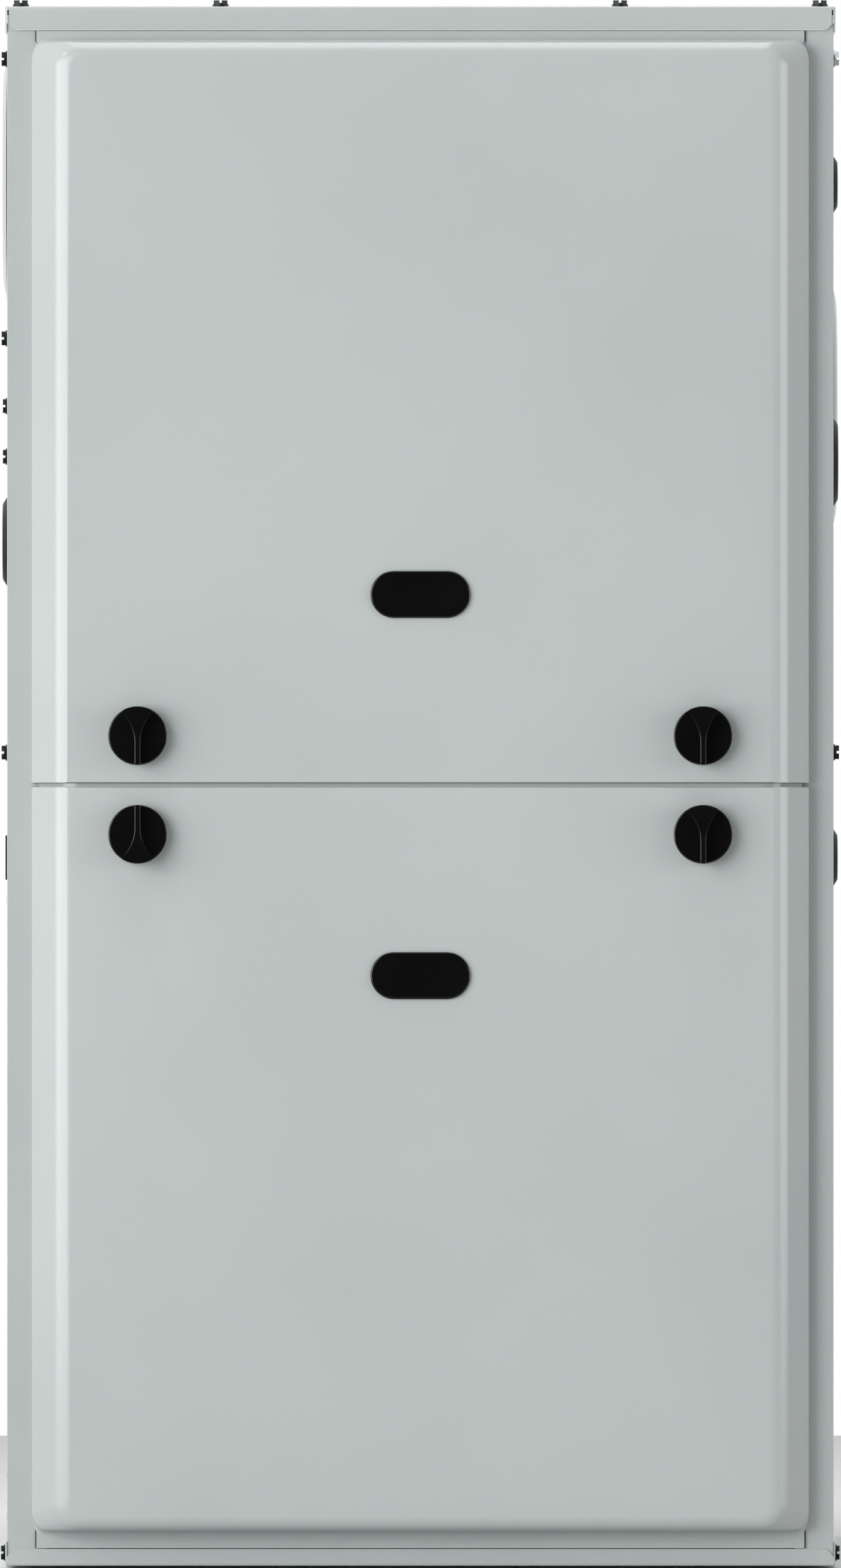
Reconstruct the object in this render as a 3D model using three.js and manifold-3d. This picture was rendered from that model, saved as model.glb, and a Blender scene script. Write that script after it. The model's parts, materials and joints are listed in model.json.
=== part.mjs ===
// Upflow forced air gas furnace: sheet metal casing with two pillow shaped doors,
// gas train, heat exchangers, draught inducer and direct drive blower.
// Millimetres, +Z up, front faces -Y, origin under the middle of the casing.

import * as THREE from 'three';
import { mergeVertices } from 'three/addons/utils/BufferGeometryUtils.js';
import Module from 'manifold-3d';

const wasm = await Module();
wasm.setup();

// Casing
const cabinetWidth = 444.2;
const cabinetDepth = 705;
const cabinetHeight = 839;
const casingSheet = 0.9;
const frontFlangeWidth = 21;
const frontLipDepth = 12;
const seatGap = 0.3;
const lapGap = 0.2;

// Top cap and base pan
const capSheet = 0.8;
const capFrontBand = 12.9;
const capSideBand = 13.8;
const capEndChamfer = 4;
const supplySideMargin = 24.1;
const supplyFrontMargin = 19.5;
const supplyRearMargin = 14.5;
const supplyHem = 12;
const panSheet = 0.8;
const panFrontBand = 9.2;
const panSideBand = 13.1;
const returnSideMargin = 52.1;
const returnEndMargin = 102.5;
const closureSideMargin = 18.35;
const closureEndMargin = 32.5;
const closureSheet = 0.8;

// Doors
const doorSideMargin = 13.3;
const doorEndInset = 2.4;
const doorDepth = 24;
const doorSheet = 0.9;
const flankRun = 15.4;
const flankBend = 16;
const endBend = 8;
const splitBend = 0.8;
const splitHeight = 420.7;
const splitGap = 2.5;
const doorEndGap = 0.5;
const upperEndFlange = 5.8;
const lowerDoorBottom = 11.1;
const lowerEndFlange = 9.4;
const doorLip = 6;
const linerSideMargin = 30.8;
const linerThickness = 10;
const linerEdge = 26;

// Sight windows
const windowWidth = 53.6;
const windowHeight = 25.3;
const windowProud = 2;
const windowWall = 3;
const upperWindowRise = 102.2;
const lowerWindowDrop = 102.3;

// Door knobs
const knobRadius = 15.75;
const knobHeight = 17;
const knobBaseHeight = 8;
const knobStemWidth = 3.06;
const knobFlareWidth = 17;
const knobFlareHeight = 13;
const knobStemTop = -4;
const knobStudRadius = 4;
const knobStudReach = 8;
const knobStudGap = 0.5;
const railHoleGap = 1;
const knobSideInset = 57.1;
const knobOffsetZ = 26.45;

// Centre rail, blower deck and vestibule panel
const railHeight = 90;
const railFlange = 26;
const frameSheet = 1.2;
const deckFlange = 15;
const vestibuleDepth = 215;
const vestibuleFlange = 14;

// Side wall covers and plugs
const ventCoverRadius = 65.7;
const ventCoverChamfer = 8;
const ventCoverHole = 52;
const ventCoverProud = 3.4;
const ventCoverSheet = 0.9;
const largePlugRadius = 24;
const largePlugBarrel = 18;
const smallPlugRadius = 15.7;
const smallPlugBarrel = 11;
const plugProud = 2.9;
const plugChamfer = 3.4;
const plugDepth = 8;
const leftVentDrop = 90.8;
const leftPlugRise = 131.1;
const drainDrop = 39.1;
const conduitPlugDrop = 94.6;
const rightVentRise = 205.1;
const rightPlugRise = 173.9;
const wiringPlugDrop = 39.1;
const leftVentSetback = 122;
const rightVentSetback = 150;
const plugSetback = 42;
const smallPlugSetback = 58;

// Top screws, hexagon washer head with a slot
const screwHexAcross = 7.4;
const screwFlangeRadius = 4.4;
const screwFlangeHeight = 0.9;
const screwHeadHeight = 3.1;
const screwShankRadius = 1.9;
const screwShankLength = 9;
const screwSlotWidth = 1.2;
const screwSlotDepth = 1.2;
const screwSideSetback = 7.3;
const screwSetback = 7;

// Burners and gas train
const burnerSpacing = 90;
const burnerShare = 0.6677;
const burnerBoxMargin = 82.1;
const burnerBoxHeight = 100;
const burnerBoxDepth = 162;
const burnerLength = 132;
const burnerInletRadius = 16;
const burnerThroatRadius = 12;
const burnerFlareRadius = 21;
const burnerWall = 1.6;
const manifoldRadius = 10.5;
const manifoldOffset = 22;
const manifoldInValve = 12;
const spudRadius = 5;
const spudReach = 8;
const gasValveWidth = 54;
const gasValveDepth = 66;
const gasValveHeight = 84;
const gasInletRadius = 10.5;
const gasInletDepth = 16;
const rockerWidth = 12;
const rockerHeight = 20;
const rockerProud = 4;
const igniterRodRadius = 4;
const igniterBase = 18;
const sensorRodRadius = 1.5;
const sensorBase = 10;
const flameGap = 5;
const rolloutRadius = 9;
const rolloutHeight = 12;
const resetRadius = 3.2;
const resetProud = 4;
const resetTravel = 2;

// Primary and secondary heat exchangers
const tubeRadius = 22;
const tubeWall = 1.5;
const tubeFrontProud = 5;
const tubeRearTurnInset = 50;
const tubeFrontTurnInset = 75.5;
const lastPassShare = 0.2852;
const firstTurnShare = 0.5625;
const turnSteps = 4;
const tubeRearProud = 4;
const couplingRearMargin = 97.5;
const couplingDepth = 74;
const couplingInset = 18;
const couplingLap = 2;
const couplingLip = 3;
const couplingWall = 1.5;
const coilSideMargin = 34.1;
const coilLegHeight = 27.3;
const coilToTube = 12;
const coilSlotCount = 11;
const coilSlotWidth = 18;
const coilRim = 14;
const gasWindowInset = 30;
const gasWindowMargin = 8;
const collectorLeftMargin = 57.1;
const collectorRightMargin = 18.1;
const collectorLap = 8;
const collectorRise = 50;
const collectorDepth = 45;
const collectorWall = 2.5;

// Draught inducer and vent
const inducerSideMargin = 92.1;
const inducerRadius = 70;
const inducerDepth = 42;
const inducerWall = 2.5;
const inducerInletRadius = 26;
const inducerNozzleOffset = 45;
const inducerNozzleTop = 92;
const inducerWheelRadius = 56;
const inducerWheelDepth = 22;
const inducerBladeCount = 10;
const inducerShaftRadius = 4;
const inducerMotorRadius = 40;
const inducerMotorLength = 58;
const ventOuterRadius = 30.15;
const ventInnerRadius = 26.25;
const ventCollarRadius = 34;
const ventCollarHeight = 30;
const ventTopGap = 2;
const pressureSwitchX = -100;
const pressureSwitchRadius = 30;
const pressureSwitchDepth = 36;
const pressureTubeRadius = 4;
const pressureTubeBore = 2.5;
const pressureTubeSag = 26;
const pressureTubeLead = 26;
const nippleLength = 8;

// Condensate trap and drain
const trapWidth = 42;
const trapDepth = 40;
const trapHeight = 96;
const trapRise = 11.3;
const drainHoseRadius = 8;
const drainHoseBore = 5.5;
const drainBendRadius = 18;
const drainSetback = 60;
const grommetHeight = 24;
const grommetLength = 34;
const grommetProud = 1.5;
const grommetWall = 2;
const grommetNeck = 5;

// Blower
const blowerY = -30;
const blowerHeight = 202;
const wheelRadius = 127;
const wheelInnerRadius = 105;
const wheelHalfWidth = 101.6;
const wheelBladeCount = 16;
const wheelSheet = 3;
const wheelRing = 6;
const hubPlateX = -20;
const hubRadius = 16;
const hubLength = 22;
const blowerShaftRadius = 6.35;
const shaftGap = 0.5;
const scrollStartRadius = 142;
const scrollEndRadius = 190;
const tongueAngle = 75;
const housingHalfWidth = 114;
const housingSheet = 1.2;
const inletRadius = 108;
const motorRadius = 70;
const motorLength = 126;
const motorFromHub = 8;
const shaftInMotor = 40;
const bandSheet = 2;
const bandWidth = 18;
const mountArmWidth = 14;
const mountArmReach = 126;

// Electrical
const boardWidth = 140;
const boardHeight = 130;
const boardThickness = 1.6;
const boardStandoff = 10;
const boardSetback = 24;
const boardDrop = 188.7;
const postInset = 8;
const postRadius = 3;
const relayPitch = 30;
const relayWidth = 22;
const relayHeight = 26;
const relayDrop = 26;
const relayInset = 20;
const relayProud = 16;
const terminalProud = 12;
const terminalHeight = 12;
const terminalRise = 10;
const terminalFront = 18;
const terminalRear = 34;
const fuseProud = 9;
const fuseWidth = 12;
const fuseHeight = 20;
const fuseInset = 14;
const fuseRise = 30;
const transformerWidth = 70;
const transformerHeight = 58;
const transformerDepth = 48;
const transformerDrop = 280.7;
const transformerShift = 20;
const footThickness = 2;
const footOverhang = 14;
const footMargin = 8;
const windingProud = 10;
const windingInset = 16;
const windingMargin = 6;
const switchX = 95;
const switchWidth = 30;
const switchHeight = 27;
const switchDepth = 22;
const plungerRadius = 3;
const plungerInset = 9;
const plungerTravel = 3;
const doorTabDepth = 16;

// Facets round a circle, by its size
const wideFacets = 32;
const mainFacets = 24;
const pipeFacets = 16;
const smallFacets = 12;
const fineFacets = 8;

// Places that follow from the sizes above
const halfWidth = cabinetWidth / 2;
const frontY = -cabinetDepth / 2;
const backY = cabinetDepth / 2;
const wallInside = halfWidth - casingSheet;
const doorWidth = cabinetWidth - 2 * doorSideMargin;
const doorEndWidth = doorWidth - 2 * doorEndInset;
const linerWidth = doorWidth - 2 * linerSideMargin;
const knobOffsetX = doorWidth / 2 - knobSideInset;
const supplyWidth = cabinetWidth - 2 * supplySideMargin;
const supplyBack = backY - supplyRearMargin;
const returnWidth = cabinetWidth - 2 * returnSideMargin;
const returnDepth = cabinetDepth - 2 * returnEndMargin;
const closureWidth = cabinetWidth - 2 * closureSideMargin;
const closureDepth = cabinetDepth - 2 * closureEndMargin;
const burnerBoxWidth = cabinetWidth - 2 * burnerBoxMargin;
const coilWidth = cabinetWidth - 2 * coilSideMargin;
const couplingWidth = coilWidth - 2 * couplingInset;
const couplingFront = backY - couplingRearMargin;
const gasWindowWidth = couplingWidth - 2 * gasWindowInset;
const collectorLeft = collectorLeftMargin - halfWidth;
const collectorRight = halfWidth - collectorRightMargin;
const inducerX = halfWidth - inducerSideMargin;
const panBottom = closureSheet + seatGap;
const panTop = panBottom + panSheet;
const wrapperBottom = panTop + seatGap;
const capUnder = cabinetHeight - capSheet;
const wrapperTop = capUnder - lapGap;
const doorBackY = frontY - seatGap;
const doorFaceY = doorBackY - doorDepth;
const doorInnerY = doorFaceY + doorSheet;
const upperDoorBottom = splitHeight + splitGap / 2;
const lowerDoorTop = splitHeight - splitGap / 2;
const flangeInner = halfWidth - frontFlangeWidth;
const railHalfLength = flangeInner - seatGap;
const railBottom = splitHeight - railHeight / 2;
const railTop = splitHeight + railHeight / 2;
const upperDoorTop = cabinetHeight - capFrontBand - doorEndGap;
const upperWindowHeight = splitHeight + upperWindowRise;
const lowerWindowHeight = splitHeight - lowerWindowDrop;
const deckTop = splitHeight;
const deckUnder = deckTop - frameSheet;
const deckFrontY = frontY + frameSheet + seatGap;
const vestibuleY = frontY + vestibuleDepth;
const vestibuleFrontY = vestibuleY - frameSheet;
const supplyFront = vestibuleY + supplyFrontMargin;
const tubeRearTurn = couplingFront - tubeRearTurnInset;
const tubeFrontTurn = vestibuleY + tubeFrontTurnInset;
const burnerXs = [-burnerSpacing, 0, burnerSpacing];
const burnerBoxFrontY = vestibuleFrontY - seatGap - burnerBoxDepth;
const burnerFrontY = burnerBoxFrontY + frameSheet + seatGap;
const burnerBackY = burnerFrontY + burnerLength;
const flameY = burnerBackY + flameGap;
const manifoldY = burnerBoxFrontY - manifoldOffset;
const gasValveRight = -burnerBoxWidth / 2 - manifoldRadius;
const heatingHeight = cabinetHeight - splitHeight;
const burnerHeight = splitHeight + burnerShare * heatingHeight;
const lastPassHeight = splitHeight + lastPassShare * heatingHeight;
const passDrop = (burnerHeight - lastPassHeight) / 2;
const firstTurnRadius = firstTurnShare * passDrop;
const secondTurnRadius = passDrop - firstTurnRadius;
const coilBottom = deckTop + coilLegHeight;
const coilTop = lastPassHeight - tubeRadius - coilToTube;
const coilHeight = coilTop - coilBottom;
const gasWindowHeight = coilHeight - 2 * gasWindowMargin;
const couplingBottom = coilBottom - couplingLap;
const couplingTop = lastPassHeight + secondTurnRadius + couplingLip;
const inducerHeight = lastPassHeight;
const collectorBottom = coilBottom - collectorLap;
const collectorTop = inducerHeight + collectorRise;
const coilFrontY = vestibuleY + seatGap;
const coilBackY = couplingFront - seatGap;
const gasWindowHeightMiddle = coilBottom + coilHeight / 2;
const collectorFrontY = vestibuleFrontY - seatGap - collectorDepth;
const inducerBackY = collectorFrontY - seatGap;
const inducerFrontY = inducerBackY - inducerDepth;
const ventX = inducerX + inducerNozzleOffset;
const ventY = inducerBackY - inducerDepth / 2;
const nozzleRadius = inducerDepth / 2;
const trapBottom = deckTop + trapRise;
const trapRight = collectorLeft - seatGap;
const trapX = trapRight - trapWidth / 2 - 4;
const trapY = vestibuleFrontY - seatGap - trapDepth / 2;
const outletFrontY = blowerY + scrollStartRadius * Math.cos(THREE.MathUtils.degToRad(tongueAngle));
const outletBackY = blowerY + scrollEndRadius;
const motorStartX = hubPlateX + wheelSheet + hubLength + motorFromHub;
const motorEndX = motorStartX + motorLength;
const tabBackY = doorInnerY + doorTabDepth;
const drainHeight = splitHeight - drainDrop;
const boardBottom = splitHeight - boardDrop;
const transformerBottom = splitHeight - transformerDrop;
const switchFrontY = frontY + frameSheet + 10;

// Colours and finishes
const finishes = {
  coat: { color: '#b4bcbb', roughness: 0.45, metalness: 0.1 },
  galvanised: { color: '#a9adb0', roughness: 0.4, metalness: 0.8 },
  blackPlastic: { color: '#0e0e0e', roughness: 0.2, metalness: 0 },
  darkPlastic: { color: '#26282a', roughness: 0.5, metalness: 0 },
  blackSteel: { color: '#171a1a', roughness: 0.35, metalness: 0.6 },
  stainless: { color: '#b9b7b0', roughness: 0.3, metalness: 0.9 },
  aluminised: { color: '#9c9a92', roughness: 0.5, metalness: 0.8 },
  castAluminium: { color: '#a7a8a6', roughness: 0.55, metalness: 0.8 },
  insulation: { color: '#d8d3bf', roughness: 0.95, metalness: 0 },
  board: { color: '#2e5d3a', roughness: 0.5, metalness: 0 },
  copper: { color: '#9a5a34', roughness: 0.4, metalness: 0.8 },
  ceramic: { color: '#e4ddcf', roughness: 0.8, metalness: 0 },
  vinyl: { color: '#cfd3d4', roughness: 0.4, metalness: 0 },
  ventPlastic: { color: '#d9dad6', roughness: 0.5, metalness: 0 },
  redPlastic: { color: '#b02a22', roughness: 0.4, metalness: 0 },
};

function materialOf(finish) {
  return new THREE.MeshStandardMaterial(finishes[finish]);
}

// Turns a closed geometry into a solid that can be cut and joined.
function solidOf(geometry) {
  const bare = geometry.clone();
  bare.deleteAttribute('normal');
  bare.deleteAttribute('uv');
  const merged = mergeVertices(bare, 1e-4);
  const corners = merged.index.array;
  const kept = [];
  for (let i = 0; i < corners.length; i += 3) {
    const [a, b, c] = [corners[i], corners[i + 1], corners[i + 2]];
    if (a !== b && b !== c && c !== a) kept.push(a, b, c);
  }
  return new wasm.Manifold(new wasm.Mesh({
    numProp: 3,
    vertProperties: new Float32Array(merged.attributes.position.array),
    triVerts: new Uint32Array(kept),
  }));
}

function geometryOf(solid) {
  const mesh = solid.getMesh();
  const geometry = new THREE.BufferGeometry();
  geometry.setAttribute('position', new THREE.BufferAttribute(mesh.vertProperties, 3));
  geometry.setIndex(new THREE.BufferAttribute(mesh.triVerts, 1));
  geometry.computeVertexNormals();
  return geometry;
}

function cut(base, ...tools) {
  return tools.reduce((solid, tool) => solid.subtract(tool), base);
}

function join(base, ...others) {
  return others.reduce((solid, other) => solid.add(other), base);
}

function piece(name, solid, finish) {
  const mesh = new THREE.Mesh(geometryOf(solid), materialOf(finish));
  mesh.name = name;
  return mesh;
}

function box(x0, x1, y0, y1, z0, z1) {
  const geometry = new THREE.BoxGeometry(x1 - x0, y1 - y0, z1 - z0);
  geometry.translate((x0 + x1) / 2, (y0 + y1) / 2, (z0 + z1) / 2);
  return solidOf(geometry);
}

// Where an outline's (u, v) plane and its thickness lie for a prism along each axis.
const prismFrames = {
  x: new THREE.Matrix4().makeBasis(
    new THREE.Vector3(0, 1, 0), new THREE.Vector3(0, 0, 1), new THREE.Vector3(1, 0, 0)),
  y: new THREE.Matrix4().makeBasis(
    new THREE.Vector3(-1, 0, 0), new THREE.Vector3(0, 0, 1), new THREE.Vector3(0, 1, 0)),
  z: new THREE.Matrix4(),
};

// Prism with its outline across the axis: (y, z) along x, (x, z) along y, (x, y) along z.
function prism(axis, outline, from, to) {
  const points = outline.map(([u, v]) => new THREE.Vector2(axis === 'y' ? -u : u, v));
  const shape = new THREE.Shape(points);
  const geometry = new THREE.ExtrudeGeometry(shape, { depth: to - from, bevelEnabled: false });
  geometry.translate(0, 0, from);
  geometry.applyMatrix4(prismFrames[axis]);
  return solidOf(geometry);
}

function arcPoints(centreU, centreV, radius, fromDegrees, toDegrees, steps) {
  const points = [];
  for (let i = 0; i <= steps; i += 1) {
    const angle = THREE.MathUtils.degToRad(fromDegrees + ((toDegrees - fromDegrees) * i) / steps);
    points.push([centreU + radius * Math.cos(angle), centreV + radius * Math.sin(angle)]);
  }
  return points;
}

function ringPoints(centreU, centreV, radius, sides) {
  return arcPoints(centreU, centreV, radius, 0, 360, sides).slice(0, sides);
}

function rod(axis, centreU, centreV, radius, from, to, sides = smallFacets) {
  return prism(axis, ringPoints(centreU, centreV, radius, sides), from, to);
}

// Solid of revolution about an axis; the profile is a closed list of (radius, position).
function turned(axis, centreU, centreV, profile, sides) {
  const points = [...profile, profile[0]].map(([r, s]) => new THREE.Vector2(r, s));
  if (THREE.ShapeUtils.area(points) < 0) points.reverse();
  const geometry = new THREE.LatheGeometry(points, sides);
  geometry.rotateX(Math.PI / 2);
  geometry.applyMatrix4(prismFrames[axis]);
  const solid = solidOf(geometry);
  const u = axis === 'y' ? -centreU : centreU;
  const shift = new THREE.Vector3(u, centreV, 0).applyMatrix4(prismFrames[axis]);
  return solid.translate([shift.x, shift.y, shift.z]);
}

function stadiumPoints(centreX, centreZ, width, height) {
  const radius = height / 2;
  const reach = width / 2 - radius;
  return [
    ...arcPoints(centreX + reach, centreZ, radius, -90, 90, fineFacets),
    ...arcPoints(centreX - reach, centreZ, radius, 90, 270, fineFacets),
  ];
}

// A route of straight runs with rounded corners, whose stations are the sweep's steps.
class BentRoute extends THREE.Curve {
  constructor(corners, bendRadius, bendSteps) {
    super();
    this.stations = BentRoute.layStations(corners, bendRadius, bendSteps);
  }

  static layStations(corners, bendRadius, bendSteps) {
    const stations = [corners[0].clone()];
    for (let i = 1; i < corners.length - 1; i += 1) {
      const into = corners[i].clone().sub(corners[i - 1]).normalize();
      const out = corners[i + 1].clone().sub(corners[i]).normalize();
      const turn = into.angleTo(out);
      const tangent = bendRadius * Math.tan(turn / 2);
      const start = corners[i].clone().addScaledVector(into, -tangent);
      const inward = out.clone().addScaledVector(into, -out.dot(into)).normalize();
      const centre = start.clone().addScaledVector(inward, bendRadius);
      for (let k = 0; k <= bendSteps; k += 1) {
        const angle = (turn * k) / bendSteps;
        const station = centre.clone()
          .addScaledVector(inward, -bendRadius * Math.cos(angle))
          .addScaledVector(into, bendRadius * Math.sin(angle));
        stations.push(station);
      }
    }
    stations.push(corners[corners.length - 1].clone());
    return stations;
  }

  get steps() {
    return this.stations.length - 1;
  }

  getPoint(t) {
    const place = t * this.steps;
    const low = Math.min(Math.floor(place), this.steps - 1);
    return this.stations[low].clone().lerp(this.stations[low + 1], place - low);
  }

  getPointAt(u) {
    return this.getPoint(u);
  }

  getTangentAt(u) {
    const at = Math.round(u * this.steps);
    const before = this.stations[Math.max(at - 1, 0)];
    const after = this.stations[Math.min(at + 1, this.steps)];
    if (at === 0 || at === this.steps) return after.clone().sub(before).normalize();
    const into = this.stations[at].clone().sub(before).normalize();
    const out = after.clone().sub(this.stations[at]).normalize();
    return into.add(out).normalize();
  }
}

function sweptTube(route, outerRadius, boreRadius, sides) {
  const rim = ringPoints(0, 0, outerRadius, sides).map(([u, v]) => new THREE.Vector2(u, v));
  const shape = new THREE.Shape(rim);
  const bore = ringPoints(0, 0, boreRadius, sides).map(([u, v]) => new THREE.Vector2(u, v));
  shape.holes.push(new THREE.Path(bore));
  return solidOf(new THREE.ExtrudeGeometry(shape, { steps: route.steps, extrudePath: route }));
}

// Casing: one sheet wrapped round both sides and the back, with flanges at the front.
function makeWrapper() {
  const s = casingSheet;
  const outline = [
    [flangeInner, frontY], [halfWidth, frontY], [halfWidth, backY], [-halfWidth, backY],
    [-halfWidth, frontY], [-flangeInner, frontY], [-flangeInner, frontY + frontLipDepth],
    [-flangeInner - s, frontY + frontLipDepth], [-flangeInner - s, frontY + s],
    [-wallInside, frontY + s], [-wallInside, backY - s], [wallInside, backY - s],
    [wallInside, frontY + s], [flangeInner + s, frontY + s],
    [flangeInner + s, frontY + frontLipDepth], [flangeInner, frontY + frontLipDepth],
  ];
  const wrapper = prism('z', outline, wrapperBottom, wrapperTop);
  const holes = wallFittings.map((fitting) => {
    const onLeft = fitting.side < 0;
    const near = onLeft ? -halfWidth - 1 : wallInside - 1;
    const far = onLeft ? -wallInside + 1 : halfWidth + 1;
    return rod('x', fitting.y, fitting.z, fitting.hole, near, far, fitting.facets);
  });
  return piece('cabinet_wrapper', cut(wrapper, ...holes), 'coat');
}

// What closes the holes in the side walls: which wall, where, and the hole's radius and facets.
const wallFittings = [
  { name: 'left_vent_cover', kind: 'cover', side: -1, y: frontY + leftVentSetback,
    z: cabinetHeight - leftVentDrop, hole: ventCoverHole, facets: mainFacets },
  { name: 'right_vent_cover', kind: 'cover', side: 1, y: frontY + rightVentSetback,
    z: splitHeight + rightVentRise, hole: ventCoverHole, facets: mainFacets },
  { name: 'left_gas_plug', kind: 'large', side: -1, y: frontY + plugSetback, z: splitHeight + leftPlugRise,
    hole: largePlugBarrel + seatGap, facets: pipeFacets },
  { name: 'right_gas_plug', kind: 'large', side: 1, y: frontY + plugSetback, z: splitHeight + rightPlugRise,
    hole: largePlugBarrel + seatGap, facets: pipeFacets },
  { name: 'right_conduit_plug', kind: 'small', side: 1, y: frontY + smallPlugSetback,
    z: cabinetHeight - conduitPlugDrop, hole: smallPlugBarrel + seatGap, facets: pipeFacets },
  { name: 'right_wiring_plug', kind: 'small', side: 1, y: frontY + smallPlugSetback,
    z: splitHeight - wiringPlugDrop, hole: smallPlugBarrel + seatGap, facets: pipeFacets },
  { name: 'left_drain_grommet', kind: 'grommet', side: -1, y: frontY + drainSetback, z: drainHeight,
    hole: drainHoseRadius + grommetWall + seatGap, facets: smallFacets },
];

// Profiles of (radius, distance out of the wall's outer face), for a fitting on the right wall.
function coverProfile() {
  const rim = seatGap;
  const spigot = ventCoverHole - seatGap;
  return [
    [0, ventCoverProud], [ventCoverRadius - ventCoverChamfer, ventCoverProud], [ventCoverRadius, rim],
    [spigot, rim], [spigot, -casingSheet - 3], [spigot - ventCoverSheet, -casingSheet - 3],
    [spigot - ventCoverSheet, ventCoverProud - ventCoverSheet], [0, ventCoverProud - ventCoverSheet],
  ];
}

function plugProfile(radius, barrel) {
  return [
    [0, plugProud], [radius - plugChamfer, plugProud], [radius, seatGap], [barrel, seatGap],
    [barrel, -casingSheet - plugDepth], [barrel - 2, -casingSheet - plugDepth],
    [barrel - 2, 1], [0, 1],
  ];
}

function grommetSolid() {
  const plate = box(seatGap, grommetProud, -grommetLength / 2, grommetLength / 2,
    -grommetHeight / 2, grommetHeight / 2);
  const inner = -casingSheet - grommetNeck;
  const neck = rod('x', 0, 0, drainHoseRadius + grommetWall, inner, grommetProud);
  const bore = rod('x', 0, 0, drainHoseBore, inner - 1, grommetProud + 1);
  return cut(join(plate, neck), bore);
}

const fittingSolids = {
  cover: (facets) => turned('x', 0, 0, coverProfile(), facets),
  large: (facets) => turned('x', 0, 0, plugProfile(largePlugRadius, largePlugBarrel), facets),
  small: (facets) => turned('x', 0, 0, plugProfile(smallPlugRadius, smallPlugBarrel), facets),
  grommet: grommetSolid,
};

function makeWallFitting({ name, kind, side, y, z, facets }) {
  const mesh = piece(name, fittingSolids[kind](facets), kind === 'cover' ? 'coat' : 'blackPlastic');
  mesh.position.set(side * halfWidth, y, z);
  mesh.rotation.z = side < 0 ? Math.PI : 0;
  return mesh;
}

// Shallow tray with bands on all four sides, open upward; the front band is lower.
function tray(halfX, halfY, sheet, sideBand, frontBand) {
  const walls = cut(
    box(-halfX, halfX, -halfY, halfY, 0, sideBand),
    box(-halfX + sheet, halfX - sheet, -halfY + sheet, halfY - sheet, sheet, sideBand + 1),
  );
  const sideX = halfX - sheet;
  const chamfer = [
    [-sideX, sideBand + 1], [-sideX, frontBand - capEndChamfer], [-sideX + capEndChamfer, frontBand],
    [sideX - capEndChamfer, frontBand], [sideX, frontBand - capEndChamfer], [sideX, sideBand + 1],
  ];
  return cut(walls, prism('y', chamfer, -halfY - 1, -halfY + sheet));
}

function makeTopCap() {
  const halfX = halfWidth + lapGap + capSheet;
  const halfY = cabinetDepth / 2 + lapGap + capSheet;
  const cap = tray(halfX, halfY, capSheet, capSideBand, capFrontBand)
    .rotate([180, 0, 0])
    .mirror([0, 1, 0])
    .mirror([1, 0, 0])
    .translate([0, 0, cabinetHeight]);
  const half = supplyWidth / 2;
  const hem = box(-half, half, supplyFront, supplyBack, cabinetHeight - supplyHem, capUnder + 0.1);
  const opening = box(-half + capSheet, half - capSheet, supplyFront + capSheet, supplyBack - capSheet,
    cabinetHeight - supplyHem - 1, cabinetHeight + 1);
  const ventHole = rod('z', ventX, ventY, ventOuterRadius + 1.5, capUnder - 1, cabinetHeight + 1,
    pipeFacets);
  const screwHoles = screwXs.map((x) => rod('z', x, frontY + screwSetback, screwShankRadius + seatGap,
    capUnder - 1, cabinetHeight + 1, fineFacets));
  return piece('top_cap', cut(join(cap, hem), opening, ventHole, ...screwHoles), 'coat');
}

function makeBasePan() {
  const halfX = halfWidth + lapGap + panSheet;
  const halfY = cabinetDepth / 2 + lapGap + panSheet;
  const pan = tray(halfX, halfY, panSheet, panSideBand, panFrontBand).translate([0, 0, panBottom]);
  const opening = box(-returnWidth / 2, returnWidth / 2, -returnDepth / 2, returnDepth / 2,
    panBottom - 1, panTop + 1);
  return piece('base_pan', cut(pan, opening), 'coat');
}

function makeClosurePanel() {
  const halfX = closureWidth / 2;
  const halfY = closureDepth / 2;
  const panel = box(-halfX, halfX, -halfY, halfY, 0, closureSheet);
  return piece('bottom_closure_panel', panel, 'galvanised');
}

const outerScrewX = halfWidth - screwSideSetback;
const screwXs = [-outerScrewX, -outerScrewX / 2, outerScrewX / 2, outerScrewX];

function makeTopScrew(name, x) {
  const hexRadius = screwHexAcross / Math.sqrt(3);
  const head = join(
    rod('z', 0, 0, screwFlangeRadius, 0, screwFlangeHeight),
    rod('z', 0, 0, hexRadius, 0, screwHeadHeight, 6),
    rod('z', 0, 0, screwShankRadius, -screwShankLength, 0.1, fineFacets),
  );
  const slot = box(-screwFlangeRadius, screwFlangeRadius, -screwSlotWidth / 2, screwSlotWidth / 2,
    screwHeadHeight - screwSlotDepth, screwHeadHeight + 1);
  const mesh = piece(name, cut(head, slot), 'blackSteel');
  mesh.position.set(x, frontY + screwSetback, cabinetHeight + seatGap);
  return mesh;
}

// Door section across its width: straight edge, slanted flank, rolled bend, flat face.
function pillowOutline(inset) {
  const half = doorWidth / 2 - inset;
  const depth = doorDepth - inset;
  const bend = flankBend - inset;
  const turn = THREE.MathUtils.degToRad(22.5);
  const edge = doorDepth - flankRun - inset * Math.tan(turn);
  const cornerX = half - (depth - edge);
  const centreX = cornerX - bend * Math.tan(turn);
  const back = inset > 0 ? -1 : 0;
  const right = [
    [half, back], [half, edge],
    ...arcPoints(centreX, depth - bend, bend, 45, 90, 3),
  ];
  const left = right.map(([x, d]) => [-x, d]).reverse();
  return [...right, ...left].map(([x, d]) => [x, doorBackY - d]).reverse();
}

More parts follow.
